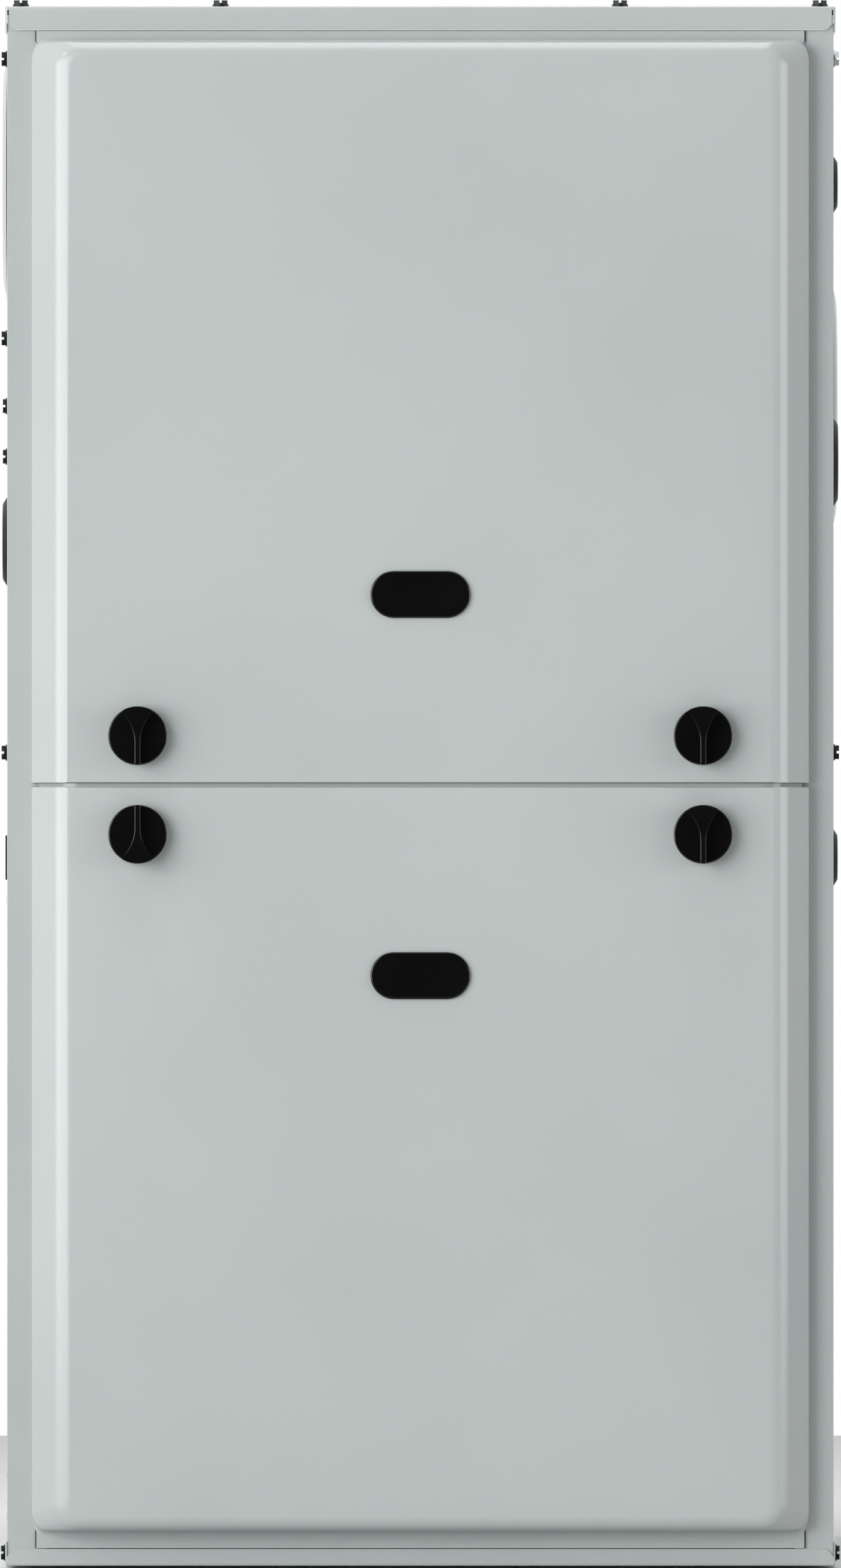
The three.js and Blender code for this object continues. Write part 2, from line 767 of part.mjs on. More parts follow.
// Door section along its height: end walls with a bend into the face.
function doorSideOutline(bottom, top, bottomBend, topBend, inset) {
  const depth = doorDepth - inset;
  const low = bottom + inset;
  const high = top - inset;
  const lowBend = Math.max(bottomBend - inset, 0.2);
  const highBend = Math.max(topBend - inset, 0.2);
  const back = inset > 0 ? -1 : 0;
  const steps = (bend) => (bend > 2 ? 4 : 1);
  const points = [
    [back, low],
    ...arcPoints(depth - lowBend, low + lowBend, lowBend, -90, 0, steps(lowBend)),
    ...arcPoints(depth - highBend, high - highBend, highBend, 0, 90, steps(highBend)),
    [back, high],
  ];
  return points.map(([d, z]) => [doorBackY - d, z]);
}

function doorForm(bottom, top, bottomBend, topBend, inset) {
  const across = prism('z', pillowOutline(inset), bottom + inset, top - inset);
  const reach = doorWidth;
  const along = prism('x', doorSideOutline(bottom, top, bottomBend, topBend, inset), -reach, reach);
  return across.intersect(along);
}

function doorShell(bottom, top, bottomBend, topBend) {
  const shell = cut(
    doorForm(bottom, top, bottomBend, topBend, 0),
    doorForm(bottom, top, bottomBend, topBend, doorSheet),
  );
  const lips = [-1, 1].map((side) => {
    const outer = (side * doorWidth) / 2;
    const inner = outer - side * doorLip;
    return box(Math.min(outer, inner), Math.max(outer, inner), doorBackY - doorSheet, doorBackY,
      bottom, top);
  });
  return join(shell, ...lips);
}

function windowOpening(height, clearance) {
  const width = windowWidth - 2 * windowWall + 2 * clearance;
  return prism('y', stadiumPoints(0, height, width, windowHeight - 2 * windowWall + 2 * clearance),
    doorFaceY - 1, doorBackY);
}

function knobHoles(height) {
  return [-knobOffsetX, knobOffsetX].map((x) => rod('y', x, height, knobStudRadius + knobStudGap,
    doorFaceY - 1, doorInnerY + 1));
}

function makeUpperDoor() {
  const wallTop = upperDoorTop - upperEndFlange;
  const shell = doorShell(upperDoorBottom, wallTop, splitBend, endBend);
  const flange = box(-doorEndWidth / 2, doorEndWidth / 2, doorBackY - doorSheet, doorBackY,
    wallTop - doorSheet, upperDoorTop);
  const door = cut(join(shell, flange), windowOpening(upperWindowHeight, seatGap),
    ...knobHoles(splitHeight + knobOffsetZ));
  return piece('upper_door_panel', door, 'coat');
}

function makeUpperLiner() {
  const bottom = railTop + linerEdge / 2;
  const top = upperDoorTop - upperEndFlange - linerEdge;
  const front = doorInnerY + seatGap;
  const pad = box(-linerWidth / 2, linerWidth / 2, front, front + linerThickness, bottom, top);
  const hole = prism('y', stadiumPoints(0, upperWindowHeight, windowWidth, windowHeight),
    doorInnerY, doorInnerY + linerThickness + 1);
  return piece('upper_door_liner', cut(pad, hole), 'insulation');
}

function makeLowerDoor() {
  const wallBottom = lowerDoorBottom + lowerEndFlange;
  const shell = doorShell(wallBottom, lowerDoorTop, endBend, splitBend);
  const flange = box(-doorEndWidth / 2, doorEndWidth / 2, doorBackY - doorSheet, doorBackY,
    lowerDoorBottom, wallBottom + doorSheet);
  const tabTop = railBottom - seatGap - 2;
  const tab = box(switchX - switchWidth / 3, switchX + switchWidth / 3, doorInnerY - 0.2, tabBackY,
    tabTop - switchHeight, tabTop);
  const door = cut(join(shell, flange, tab), windowOpening(lowerWindowHeight, seatGap),
    ...knobHoles(splitHeight - knobOffsetZ));
  return piece('lower_door_panel', door, 'coat');
}

function makeWindow(name, height) {
  const lens = prism('y', stadiumPoints(0, 0, windowWidth, windowHeight), -windowProud, -seatGap);
  const boss = prism('y', stadiumPoints(0, 0, windowWidth - 2 * windowWall, windowHeight - 2 * windowWall),
    -seatGap - 0.1, doorSheet + 4);
  const mesh = piece(name, join(lens, boss), 'blackPlastic');
  mesh.position.set(0, doorFaceY, height);
  return mesh;
}

// One side's finger scoop, seen from the front: beside the stem and the flare of the grip.
function scoopOutline(side) {
  const stem = knobStemWidth / 2;
  const flare = knobFlareWidth / 2;
  const steps = 5;
  const beyond = knobRadius + 2;
  const outline = [[beyond, knobFlareHeight], [beyond, -beyond], [stem, -beyond]];
  for (let i = 0; i <= steps; i += 1) {
    const rise = i / steps;
    outline.push([
      stem + (flare - stem) * (0.3 * rise + 0.7 * rise * rise),
      knobStemTop + (knobFlareHeight - knobStemTop) * rise,
    ]);
  }
  const placed = outline.map(([x, z]) => [side * x, z]);
  return side < 0 ? placed : placed.reverse();
}

function makeKnob(name, x, height, flipped) {
  const base = rod('y', 0, 0, knobRadius, -knobHeight, 0, mainFacets);
  const scoops = [-1, 1].map((side) => prism('y', scoopOutline(side), -knobHeight - 1, -knobBaseHeight));
  const studEnd = frontY + knobStudReach - doorFaceY + seatGap;
  const stud = rod('y', 0, 0, knobStudRadius, -0.1, studEnd);
  const mesh = piece(name, join(cut(base, ...scoops), stud), 'blackPlastic');
  mesh.position.set(x, doorFaceY - seatGap, height);
  mesh.rotation.y = flipped ? Math.PI : 0;
  return mesh;
}

// Channel across the front between the two doors, open to the back.
function makeCentreRail() {
  const s = frameSheet;
  const outline = [
    [frontY, railBottom], [frontY + railFlange, railBottom], [frontY + railFlange, railBottom + s],
    [frontY + s, railBottom + s], [frontY + s, railTop - s], [frontY + railFlange, railTop - s],
    [frontY + railFlange, railTop], [frontY, railTop],
  ];
  const rail = prism('x', outline, -railHalfLength, railHalfLength);
  const heights = [splitHeight - knobOffsetZ, splitHeight + knobOffsetZ];
  const holes = heights.flatMap((z) => [-knobOffsetX, knobOffsetX].map((x) => rod('y', x, z,
    knobStudRadius + railHoleGap, frontY - 1, frontY + s + 1)));
  return piece('centre_rail', cut(rail, ...holes), 'galvanised');
}

function makeBlowerDeck() {
  const half = wallInside - seatGap;
  const rear = backY - casingSheet - seatGap;
  const flangeFrontY = frontY + railFlange + seatGap;
  const sheet = join(
    box(-half, half, flangeFrontY, rear, deckUnder, deckTop),
    box(-railHalfLength, railHalfLength, deckFrontY, flangeFrontY + 0.1, deckUnder, deckTop),
  );
  const flanges = [-1, 1].map((side) => {
    const outer = side * half;
    const inner = outer - side * frameSheet;
    return box(Math.min(outer, inner), Math.max(outer, inner), flangeFrontY, rear,
      deckTop - deckFlange, deckTop);
  });
  const outletHalf = housingHalfWidth - housingSheet;
  const outlet = box(-outletHalf, outletHalf, outletFrontY + housingSheet, outletBackY - housingSheet,
    deckUnder - 1, deckTop + 1);
  const hoseHole = rod('z', trapX, trapY, drainHoseRadius + grommetWall, deckUnder - 1, deckTop + 1);
  return piece('blower_deck', cut(join(sheet, ...flanges), outlet, hoseHole), 'galvanised');
}

function makeVestibulePanel() {
  const half = wallInside - seatGap;
  const bottom = deckTop + seatGap;
  const top = cabinetHeight - supplyHem - seatGap;
  const sheet = box(-half, half, vestibuleFrontY, vestibuleY, bottom, top);
  const flanges = [-1, 1].map((side) => {
    const outer = side * half;
    const inner = outer - side * frameSheet;
    return box(Math.min(outer, inner), Math.max(outer, inner), vestibuleY - 0.1, vestibuleY + vestibuleFlange,
      bottom, top);
  });
  const topFlange = box(-half, half, vestibuleY - vestibuleFlange, vestibuleY - 0.1, top - frameSheet, top);
  const tubeHoles = burnerXs.map((x) => rod('y', x, burnerHeight, tubeRadius + seatGap,
    vestibuleFrontY - 1, vestibuleY + 1, pipeFacets));
  const gasWindow = box(-gasWindowWidth / 2, gasWindowWidth / 2, vestibuleFrontY - 1, vestibuleY + 1,
    gasWindowHeightMiddle - gasWindowHeight / 2, gasWindowHeightMiddle + gasWindowHeight / 2);
  const panel = cut(join(sheet, ...flanges, topFlange), ...tubeHoles, gasWindow);
  return piece('vestibule_panel', panel, 'galvanised');
}

// Serpentine tube: back, down, forward, down and back into the coupling box.
function makeExchangerTube(name, x) {
  const startY = vestibuleFrontY - tubeFrontProud;
  const second = burnerHeight - 2 * firstTurnRadius;
  const upper = new BentRoute([
    new THREE.Vector3(x, startY, burnerHeight),
    new THREE.Vector3(x, tubeRearTurn + firstTurnRadius, burnerHeight),
    new THREE.Vector3(x, tubeRearTurn + firstTurnRadius, second),
    new THREE.Vector3(x, 0, second),
  ], firstTurnRadius, turnSteps);
  const lower = new BentRoute([
    new THREE.Vector3(x, 0, second),
    new THREE.Vector3(x, tubeFrontTurn - secondTurnRadius, second),
    new THREE.Vector3(x, tubeFrontTurn - secondTurnRadius, lastPassHeight),
    new THREE.Vector3(x, couplingFront + couplingWall + tubeRearProud, lastPassHeight),
  ], secondTurnRadius, turnSteps);
  upper.stations.push(...lower.stations.slice(1));
  return piece(name, sweptTube(upper, tubeRadius, tubeRadius - tubeWall, fineFacets), 'aluminised');
}

function makeCouplingBox() {
  const half = couplingWidth / 2;
  const w = couplingWall;
  const top = couplingTop;
  const shell = cut(
    box(-half, half, couplingFront, couplingFront + couplingDepth, couplingBottom, top),
    box(-half + w, half - w, couplingFront + w, couplingFront + couplingDepth - w,
      couplingBottom + w, top - w),
  );
  const tubeHoles = burnerXs.map((x) => rod('y', x, lastPassHeight, tubeRadius + seatGap,
    couplingFront - 1, couplingFront + w + 1, pipeFacets));
  const gasWindow = box(-gasWindowWidth / 2, gasWindowWidth / 2, couplingFront - 1, couplingFront + w + 1,
    gasWindowHeightMiddle - gasWindowHeight / 2, gasWindowHeightMiddle + gasWindowHeight / 2);
  return piece('coupling_box', cut(shell, ...tubeHoles, gasWindow), 'stainless');
}

// Fin pack on side skirts; the slots let the air rise between the fins.
function makeSecondaryCoil() {
  const half = coilWidth / 2;
  const top = coilTop;
  const pack = join(
    box(-half, half, coilFrontY, coilBackY, coilBottom, top),
    ...[-1, 1].map((side) => {
      const outer = side * half;
      const inner = outer - side * frameSheet;
      return box(Math.min(outer, inner), Math.max(outer, inner), coilFrontY, coilBackY,
        deckTop + seatGap, coilBottom + 0.1);
    }),
  );
  const pitch = (coilBackY - coilFrontY - coilRim) / coilSlotCount;
  const slots = Array.from({ length: coilSlotCount }, (unused, i) => {
    const slotY = coilFrontY + coilRim + pitch * i;
    return box(-half + coilRim, half - coilRim, slotY, slotY + coilSlotWidth, coilBottom - 1, top + 1);
  });
  return piece('secondary_coil', cut(pack, ...slots), 'stainless');
}

function makeCollectorBox() {
  const top = collectorTop;
  const rear = collectorFrontY + collectorDepth;
  const w = collectorWall;
  const shell = cut(
    box(collectorLeft, collectorRight, collectorFrontY, rear, collectorBottom, top),
    box(collectorLeft + w, collectorRight - w, collectorFrontY + w, rear + 1, collectorBottom + w, top - w),
  );
  const port = rod('y', inducerX, inducerHeight, inducerInletRadius,
    collectorFrontY - 1, collectorFrontY + w + 1, pipeFacets);
  return piece('collector_box', cut(shell, port), 'darkPlastic');
}

function makeBurnerBox() {
  const half = burnerBoxWidth / 2;
  const rear = burnerBoxFrontY + burnerBoxDepth;
  const low = burnerHeight - burnerBoxHeight / 2;
  const high = burnerHeight + burnerBoxHeight / 2;
  const s = frameSheet;
  const shell = cut(
    box(-half, half, burnerBoxFrontY, rear, low, high),
    box(-half + s, half - s, burnerBoxFrontY + s, rear + 1, low + s, high - s),
  );
  const spudHoles = burnerXs.map((x) => rod('y', x, burnerHeight, spudRadius + 3,
    burnerBoxFrontY - 1, burnerBoxFrontY + s + 1));
  const igniterHole = rod('x', flameY, burnerHeight, igniterRodRadius + seatGap, -half - 1, -half + s + 1);
  const sensorHole = rod('x', flameY, burnerHeight, sensorRodRadius + seatGap, half - s - 1, half + 1,
    fineFacets);
  return piece('burner_box', cut(shell, ...spudHoles, igniterHole, sensorHole), 'galvanised');
}

function burnerSolid() {
  const w = burnerWall;
  const throat = burnerLength * 0.35;
  const neck = burnerLength * 0.72;
  const profile = [
    [burnerInletRadius + 3, 0], [burnerInletRadius + 3, 2], [burnerInletRadius, 2],
    [burnerThroatRadius, throat],
    [burnerThroatRadius, neck], [burnerFlareRadius, burnerLength - 12], [burnerFlareRadius, burnerLength],
    [burnerFlareRadius - w, burnerLength], [burnerFlareRadius - w, burnerLength - 12],
    [burnerThroatRadius - w, neck], [burnerThroatRadius - w, throat], [burnerInletRadius - w, 0],
  ];
  return turned('y', 0, 0, profile, smallFacets);
}

function makeBurner(name, x) {
  const mesh = piece(name, burnerSolid(), 'aluminised');
  mesh.position.set(x, burnerFrontY, burnerHeight);
  return mesh;
}

// Pipe across the burners with an orifice spud for each and two lugs to the burner box.
function makeGasManifold() {
  const left = gasValveRight - manifoldInValve;
  const right = burnerSpacing + 28;
  const pipe = rod('x', manifoldY, burnerHeight, manifoldRadius, left, right);
  const spuds = burnerXs.map((x) => rod('y', x, burnerHeight, spudRadius, manifoldY,
    burnerBoxFrontY + spudReach, fineFacets));
  const lugs = [-1, 1].map((side) => {
    const middle = (side * burnerSpacing) / 2;
    return box(middle - 6, middle + 6, manifoldY, burnerBoxFrontY - seatGap,
      burnerHeight - 3, burnerHeight + 3);
  });
  return piece('gas_manifold', join(pipe, ...spuds, ...lugs), 'blackSteel');
}

function makeGasValve() {
  const right = gasValveRight - seatGap;
  const left = right - gasValveWidth;
  const middleX = (left + right) / 2;
  const front = rockerFrontY;
  const rear = front + gasValveDepth;
  const low = burnerHeight - gasValveHeight / 2;
  const high = burnerHeight + gasValveHeight / 2;
  const body = join(
    box(left, right, front, rear, low, high),
    rod('z', middleX, manifoldY, gasInletRadius + 5, low - 12, low + 1, fineFacets),
    rod('z', middleX, front + 22, 15, high - 1, high + 14),
  );
  const outlet = rod('x', manifoldY, burnerHeight, manifoldRadius + seatGap,
    right - manifoldInValve - 2, right + 1);
  const inlet = rod('z', middleX, manifoldY, gasInletRadius, low - 13, low - 12 + gasInletDepth);
  const well = box(middleX - rockerWidth / 2 - seatGap, middleX + rockerWidth / 2 + seatGap, front - 1,
    front + rockerHeight / 2 + 1, rockerHeightMiddle - rockerHeight / 2 - 1.5,
    rockerHeightMiddle + rockerHeight / 2 + 1.5);
  return piece('gas_valve', cut(body, outlet, inlet, well), 'castAluminium');
}

const rockerHeightMiddle = burnerHeight - gasValveHeight / 2 + 18;
const rockerFrontY = manifoldY - gasValveDepth / 4;
const rockerX = gasValveRight - seatGap - gasValveWidth / 2;

// Rocker that turns about a horizontal pin across its well.
function makeGasValveSwitch() {
  const half = rockerHeight / 2;
  const outline = [
    [-rockerProud, half], [-0.5, half], [half * 0.8, 3], [half * 0.8, -3], [-0.5, -half],
    [-rockerProud * 0.3, -half],
    [-rockerProud * 0.4, 0],
  ];
  const rocker = prism('x', outline, -rockerWidth / 2, rockerWidth / 2);
  const mesh = piece('gas_valve_switch', rocker, 'redPlastic');
  mesh.position.set(rockerX, rockerFrontY, rockerHeightMiddle);
  return mesh;
}

function makeIgniter() {
  const wall = -burnerBoxWidth / 2;
  const tip = -burnerSpacing - burnerFlareRadius - 4;
  const base = box(wall - seatGap - igniterBase, wall - seatGap, flameY - 8, flameY + 5,
    burnerHeight - 9, burnerHeight + 9);
  const element = rod('x', flameY, burnerHeight, igniterRodRadius, wall - 1, tip);
  return piece('igniter', join(base, element), 'ceramic');
}

function makeFlameSensor() {
  const wall = burnerBoxWidth / 2;
  const tip = burnerSpacing + burnerFlareRadius + 4;
  const base = rod('x', flameY, burnerHeight, 5, wall + seatGap, wall + seatGap + sensorBase, fineFacets);
  const element = rod('x', flameY, burnerHeight, sensorRodRadius, tip, wall + 1, fineFacets);
  return piece('flame_sensor', join(base, element), 'ceramic');
}

const rolloutX = burnerSpacing / 2;
const rolloutY = (burnerBoxFrontY + vestibuleFrontY) / 2;
const rolloutBottom = burnerHeight + burnerBoxHeight / 2 + seatGap;

function makeRolloutSwitch() {
  const plate = box(rolloutX - 18, rolloutX + 18, rolloutY - 8, rolloutY + 8,
    rolloutBottom, rolloutBottom + 1.5);
  const can = rod('z', rolloutX, rolloutY, rolloutRadius, rolloutBottom, rolloutBottom + rolloutHeight);
  const bore = rod('z', rolloutX, rolloutY, resetRadius + seatGap,
    rolloutBottom + rolloutHeight - resetTravel - 4, rolloutBottom + rolloutHeight + 1);
  return piece('rollout_switch', cut(join(plate, can), bore), 'darkPlastic');
}

function makeResetButton() {
  const top = rolloutBottom + rolloutHeight;
  const button = rod('z', 0, 0, resetRadius, -4 + seatGap, resetProud);
  const mesh = piece('rollout_reset_button', button, 'redPlastic');
  mesh.position.set(rolloutX, rolloutY, top);
  return mesh;
}

// Round fan casing with an upright nozzle at its side, hollow throughout.
function makeInducerHousing() {
  const w = inducerWall;
  const nozzleTop = inducerHeight + inducerNozzleTop;
  const outer = join(
    rod('y', inducerX, inducerHeight, inducerRadius, inducerFrontY, inducerBackY, mainFacets),
    rod('z', ventX, ventY, nozzleRadius, inducerHeight, nozzleTop, pipeFacets),
  );
  const hollow = join(
    rod('y', inducerX, inducerHeight, inducerRadius - w, inducerFrontY + w, inducerBackY - w, mainFacets),
    rod('z', ventX, ventY, nozzleRadius - w, inducerHeight, nozzleTop + 1, pipeFacets),
  );
  const inlet = rod('y', inducerX, inducerHeight, inducerInletRadius,
    inducerBackY - w - 1, inducerBackY + 1,
    pipeFacets);
  const shaftHole = rod('y', inducerX, inducerHeight, inducerShaftRadius + 2, inducerFrontY - 1,
    inducerFrontY + w + 1);
  const tapX = inducerX - inducerRadius;
  const tap = rod('x', ventY, inducerHeight, pressureTubeBore - seatGap,
    tapX - nippleLength, tapX + 2, fineFacets);
  return piece('inducer_housing', join(cut(outer, hollow, inlet, shaftHole), tap), 'darkPlastic');
}

function makeInducerMotor() {
  const rear = inducerFrontY - seatGap;
  const front = rear - inducerMotorLength;
  const body = join(
    rod('y', inducerX, inducerHeight, inducerMotorRadius, front, rear - 8, pipeFacets),
    rod('y', inducerX, inducerHeight, inducerMotorRadius * 0.6, rear - 9, rear, pipeFacets),
  );
  const bore = rod('y', inducerX, inducerHeight, inducerShaftRadius + shaftGap, rear - 20, rear + 1);
  return piece('inducer_motor', cut(body, bore), 'blackSteel');
}

// Back plate, radial blades, rim ring and the shaft that runs into the motor.
function makeInducerWheel() {
  const shaftFront = -(inducerWall + seatGap + 18);
  const plate = rod('y', 0, 0, inducerWheelRadius, 0, 2, pipeFacets);
  const hub = rod('y', 0, 0, 10, 0, inducerWheelDepth * 0.7);
  const shaft = rod('y', 0, 0, inducerShaftRadius, shaftFront, 1);
  const blades = Array.from({ length: inducerBladeCount }, (unused, i) => box(
    8, inducerWheelRadius - 1, 1, inducerWheelDepth, -1, 1).rotate([0, (360 * i) / inducerBladeCount, 0]));
  const mesh = piece('inducer_wheel', join(plate, hub, shaft, ...blades), 'galvanised');
  mesh.position.set(inducerX, inducerFrontY + inducerWall + 5, inducerHeight);
  return mesh;
}

function makeVentPipe() {
  const bottom = inducerHeight + inducerNozzleTop + seatGap - ventCollarHeight / 2;
  const top = capUnder - ventTopGap;
  const bore = [
    [nozzleRadius + seatGap, bottom], [ventCollarRadius, bottom],
    [ventCollarRadius, bottom + ventCollarHeight],
    [ventOuterRadius, bottom + ventCollarHeight], [ventOuterRadius, top], [ventInnerRadius, top],
    [ventInnerRadius, bottom + ventCollarHeight], [nozzleRadius + seatGap, bottom + ventCollarHeight / 2],
  ];
  return piece('vent_pipe', turned('z', ventX, ventY, bore, pipeFacets), 'ventPlastic');
}

function makePressureSwitch() {
  const rear = collectorFrontY - seatGap;
  const front = rear - pressureSwitchDepth;
  const can = rod('y', pressureSwitchX, inducerHeight, pressureSwitchRadius, front + 8, rear, pipeFacets);
  const dome = rod('y', pressureSwitchX, inducerHeight, pressureSwitchRadius * 0.65, front, front + 9);
  const edge = pressureSwitchX + pressureSwitchRadius;
  const nipple = rod('x', ventY, inducerHeight, pressureTubeBore - seatGap, edge - 2, edge + nippleLength,
    fineFacets);
  return piece('pressure_switch', join(can, dome, nipple), 'darkPlastic');
}

// Sensing tube that slips over both nipples and sags between them.
function makePressureTube() {
  const startX = pressureSwitchX + pressureSwitchRadius + 1;
  const endX = inducerX - inducerRadius - 1;
  const low = inducerHeight - pressureTubeSag;
  const route = new BentRoute([
    new THREE.Vector3(startX, ventY, inducerHeight),
    new THREE.Vector3(startX + pressureTubeLead, ventY, inducerHeight),
    new THREE.Vector3(startX + pressureTubeLead, ventY, low),
    new THREE.Vector3(endX - pressureTubeLead, ventY, low),
    new THREE.Vector3(endX - pressureTubeLead, ventY, inducerHeight),
    new THREE.Vector3(endX, ventY, inducerHeight),
  ], pressureTubeSag / 2 - 0.5, 3);
  const tube = sweptTube(route, pressureTubeRadius, pressureTubeBore, fineFacets);
  return piece('pressure_tube', tube, 'vinyl');
}

function makeCondensateTrap() {
  const top = trapBottom + trapHeight;
  const left = trapX - trapWidth / 2;
  const right = trapX + trapWidth / 2;
  const body = join(
    box(left, right, trapY - trapDepth / 2, trapY + trapDepth / 2, trapBottom + 8, top),
    rod('x', trapY, collectorBottom + 20, 8, right - 1, trapRight),
    rod('z', trapX, trapY, drainHoseRadius, trapBottom, trapBottom + 9),
  );
  const outlet = rod('z', trapX, trapY, drainHoseBore - seatGap, trapBottom - 1, top - 12);
  const inlet = rod('x', trapY, collectorBottom + 20, 5, trapX, trapRight + 1);
  return piece('condensate_trap', cut(body, outlet, inlet), 'darkPlastic');
}

function makeDrainHose() {
  const y = frontY + drainSetback;
  const end = -halfWidth + casingSheet + grommetNeck + seatGap;
  const route = new BentRoute([
    new THREE.Vector3(trapX, trapY, trapBottom - seatGap),
    new THREE.Vector3(trapX, trapY, drainHeight),
    new THREE.Vector3(trapX, y, drainHeight),
    new THREE.Vector3(end, y, drainHeight),
  ], drainBendRadius, turnSteps);
  return piece('drain_hose', sweptTube(route, drainHoseRadius, drainHoseBore, fineFacets), 'vinyl');
}

// Scroll section of the blower: spiral from the tongue round to the upright outlet.
function scrollOutline(inset) {
  const points = [];
  const steps = pipeFacets;
  for (let i = 0; i <= steps; i += 1) {
    const share = i / steps;
    const angle = THREE.MathUtils.degToRad(tongueAngle + (360 - tongueAngle) * share);
    const radius = scrollStartRadius + (scrollEndRadius - scrollStartRadius) * share - inset;
    points.push([blowerY + radius * Math.cos(angle), blowerHeight + radius * Math.sin(angle)]);
  }
  const top = inset > 0 ? deckUnder : deckUnder - seatGap;
  points.push([outletBackY - inset, top]);
  points.push([outletFrontY + inset, top]);
  return points;
}

function makeBlowerHousing() {
  const half = housingHalfWidth;
  const casing = cut(
    prism('x', scrollOutline(0), -half, half),
    prism('x', scrollOutline(housingSheet), -half + housingSheet, half - housingSheet),
    rod('x', blowerY, blowerHeight, inletRadius, -half - 1, half + 1, mainFacets),
  );
  return piece('blower_housing', casing, 'galvanised');
}

// Squirrel cage: centre plate, hub, blades between the end rings, and the shaft.
function makeBlowerWheel() {
  const rings = [-wheelHalfWidth, wheelHalfWidth - wheelRing].map((x) => cut(
    rod('x', 0, 0, wheelRadius, x, x + wheelRing, wideFacets),
    rod('x', 0, 0, wheelInnerRadius, x - 1, x + wheelRing + 1, wideFacets),
  ));
  const plate = rod('x', 0, 0, wheelRadius - 1, hubPlateX, hubPlateX + wheelSheet, wideFacets);
  const hub = rod('x', 0, 0, hubRadius, hubPlateX, hubPlateX + wheelSheet + hubLength);
  const shaft = rod('x', 0, 0, blowerShaftRadius, hubPlateX, motorStartX + shaftInMotor);
  const blades = Array.from({ length: wheelBladeCount }, (unused, i) => box(
    -wheelHalfWidth + 1, wheelHalfWidth - 1, wheelInnerRadius + 1, wheelRadius - 2, -1, 1)
    .rotate([(360 * (i + 0.5)) / wheelBladeCount, 0, 0]));
  const mesh = piece('blower_wheel', join(plate, hub, shaft, ...rings, ...blades), 'galvanised');
  mesh.position.set(0, blowerY, blowerHeight);
  return mesh;
}

function makeBlowerMotor() {
  const body = cut(
    join(
      rod('x', blowerY, blowerHeight, motorRadius, motorStartX + 10, motorEndX - 10, mainFacets),
      rod('x', blowerY, blowerHeight, motorRadius - 12, motorStartX, motorEndX, mainFacets),
    ),
    rod('x', blowerY, blowerHeight, blowerShaftRadius + shaftGap,
      motorStartX - 1, motorStartX + shaftInMotor + 2),
  );
  return piece('blower_motor', body, 'blackSteel');
}

// Belly band round the motor with three arms to the face of the blower housing.
function makeMotorMount() {
  const start = housingHalfWidth + seatGap;
  const band = cut(
    rod('x', 0, 0, motorRadius + seatGap + bandSheet, start, start + bandWidth, mainFacets),
    rod('x', 0, 0, motorRadius + seatGap, start - 1, start + bandWidth + 1, mainFacets),
  );
  const arms = [90, 210, 330].map((angle) => box(
    start, start + 3, motorRadius + 1, mountArmReach, -mountArmWidth / 2, mountArmWidth / 2)
    .rotate([angle, 0, 0]));
  const mesh = piece('motor_mount', join(band, ...arms), 'galvanised');
  mesh.position.set(0, blowerY, blowerHeight);
  return mesh;
}

// Circuit board on four posts from the right wall, with its relays and terminal rows.
function makeControlBoard() {
  const wall = wallInside - seatGap;
  const back = wall - boardStandoff;
  const face = back - boardThickness;
  const y0 = frontY + boardSetback;
  const y1 = y0 + boardWidth;
  const z1 = boardBottom + boardHeight;
  const postHeights = [boardBottom + postInset, z1 - postInset];
  const posts = [y0 + postInset, y1 - postInset].flatMap((y) => postHeights.map(
    (z) => rod('x', y, z, postRadius, back - 0.5, wall, fineFacets)));
  const relayTop = z1 - relayDrop;
  const relays = [0, 1, 2].map((i) => {
    const start = y0 + relayInset + relayPitch * i;
    return box(face - relayProud, face + 0.5, start, start + relayWidth, relayTop - relayHeight, relayTop);
  });
  const terminalBottom = boardBottom + terminalRise;
  const terminals = box(face - terminalProud, face + 0.5, y0 + terminalFront, y1 - terminalRear,
    terminalBottom, terminalBottom + terminalHeight);
  const fuseBack = y1 - fuseInset;
  const fuseBottom = boardBottom + fuseRise;
  const fuse = box(face - fuseProud, face + 0.5, fuseBack - fuseWidth, fuseBack,
    fuseBottom, fuseBottom + fuseHeight);
  const board = box(face, back, y0, y1, boardBottom, z1);
  return piece('control_board', join(board, ...posts, ...relays, terminals, fuse), 'board');
}

function makeTransformer() {
  const wall = wallInside - seatGap;
  const y0 = frontY + boardSetback + transformerShift;
  const y1 = y0 + transformerWidth;
  const z1 = transformerBottom + transformerHeight;
  const foot = box(wall - footThickness, wall, y0 - footOverhang, y1 + footOverhang,
    transformerBottom + footMargin, z1 - footMargin);
  const face = wall - transformerDepth;
  const core = box(face, wall - 1, y0, y1, transformerBottom, z1);
  const windings = box(face - windingProud, face + 1, y0 + windingInset, y1 - windingInset,
    transformerBottom + windingMargin, z1 - windingMargin);
  return piece('transformer', join(foot, core, windings), 'blackSteel');
}

const switchTop = railBottom - seatGap;
const plungerHeight = switchTop - switchHeight / 2;

function makeDoorSwitch() {
  const half = switchWidth / 2;
  const body = box(switchX - half, switchX + half, switchFrontY, switchFrontY + switchDepth,
    switchTop - switchHeight, switchTop);
  const bore = rod('y', switchX, plungerHeight, plungerRadius + seatGap, switchFrontY - 1,
    switchFrontY + plungerInset + plungerTravel + 1);
  return piece('door_switch', cut(body, bore), 'darkPlastic');
}

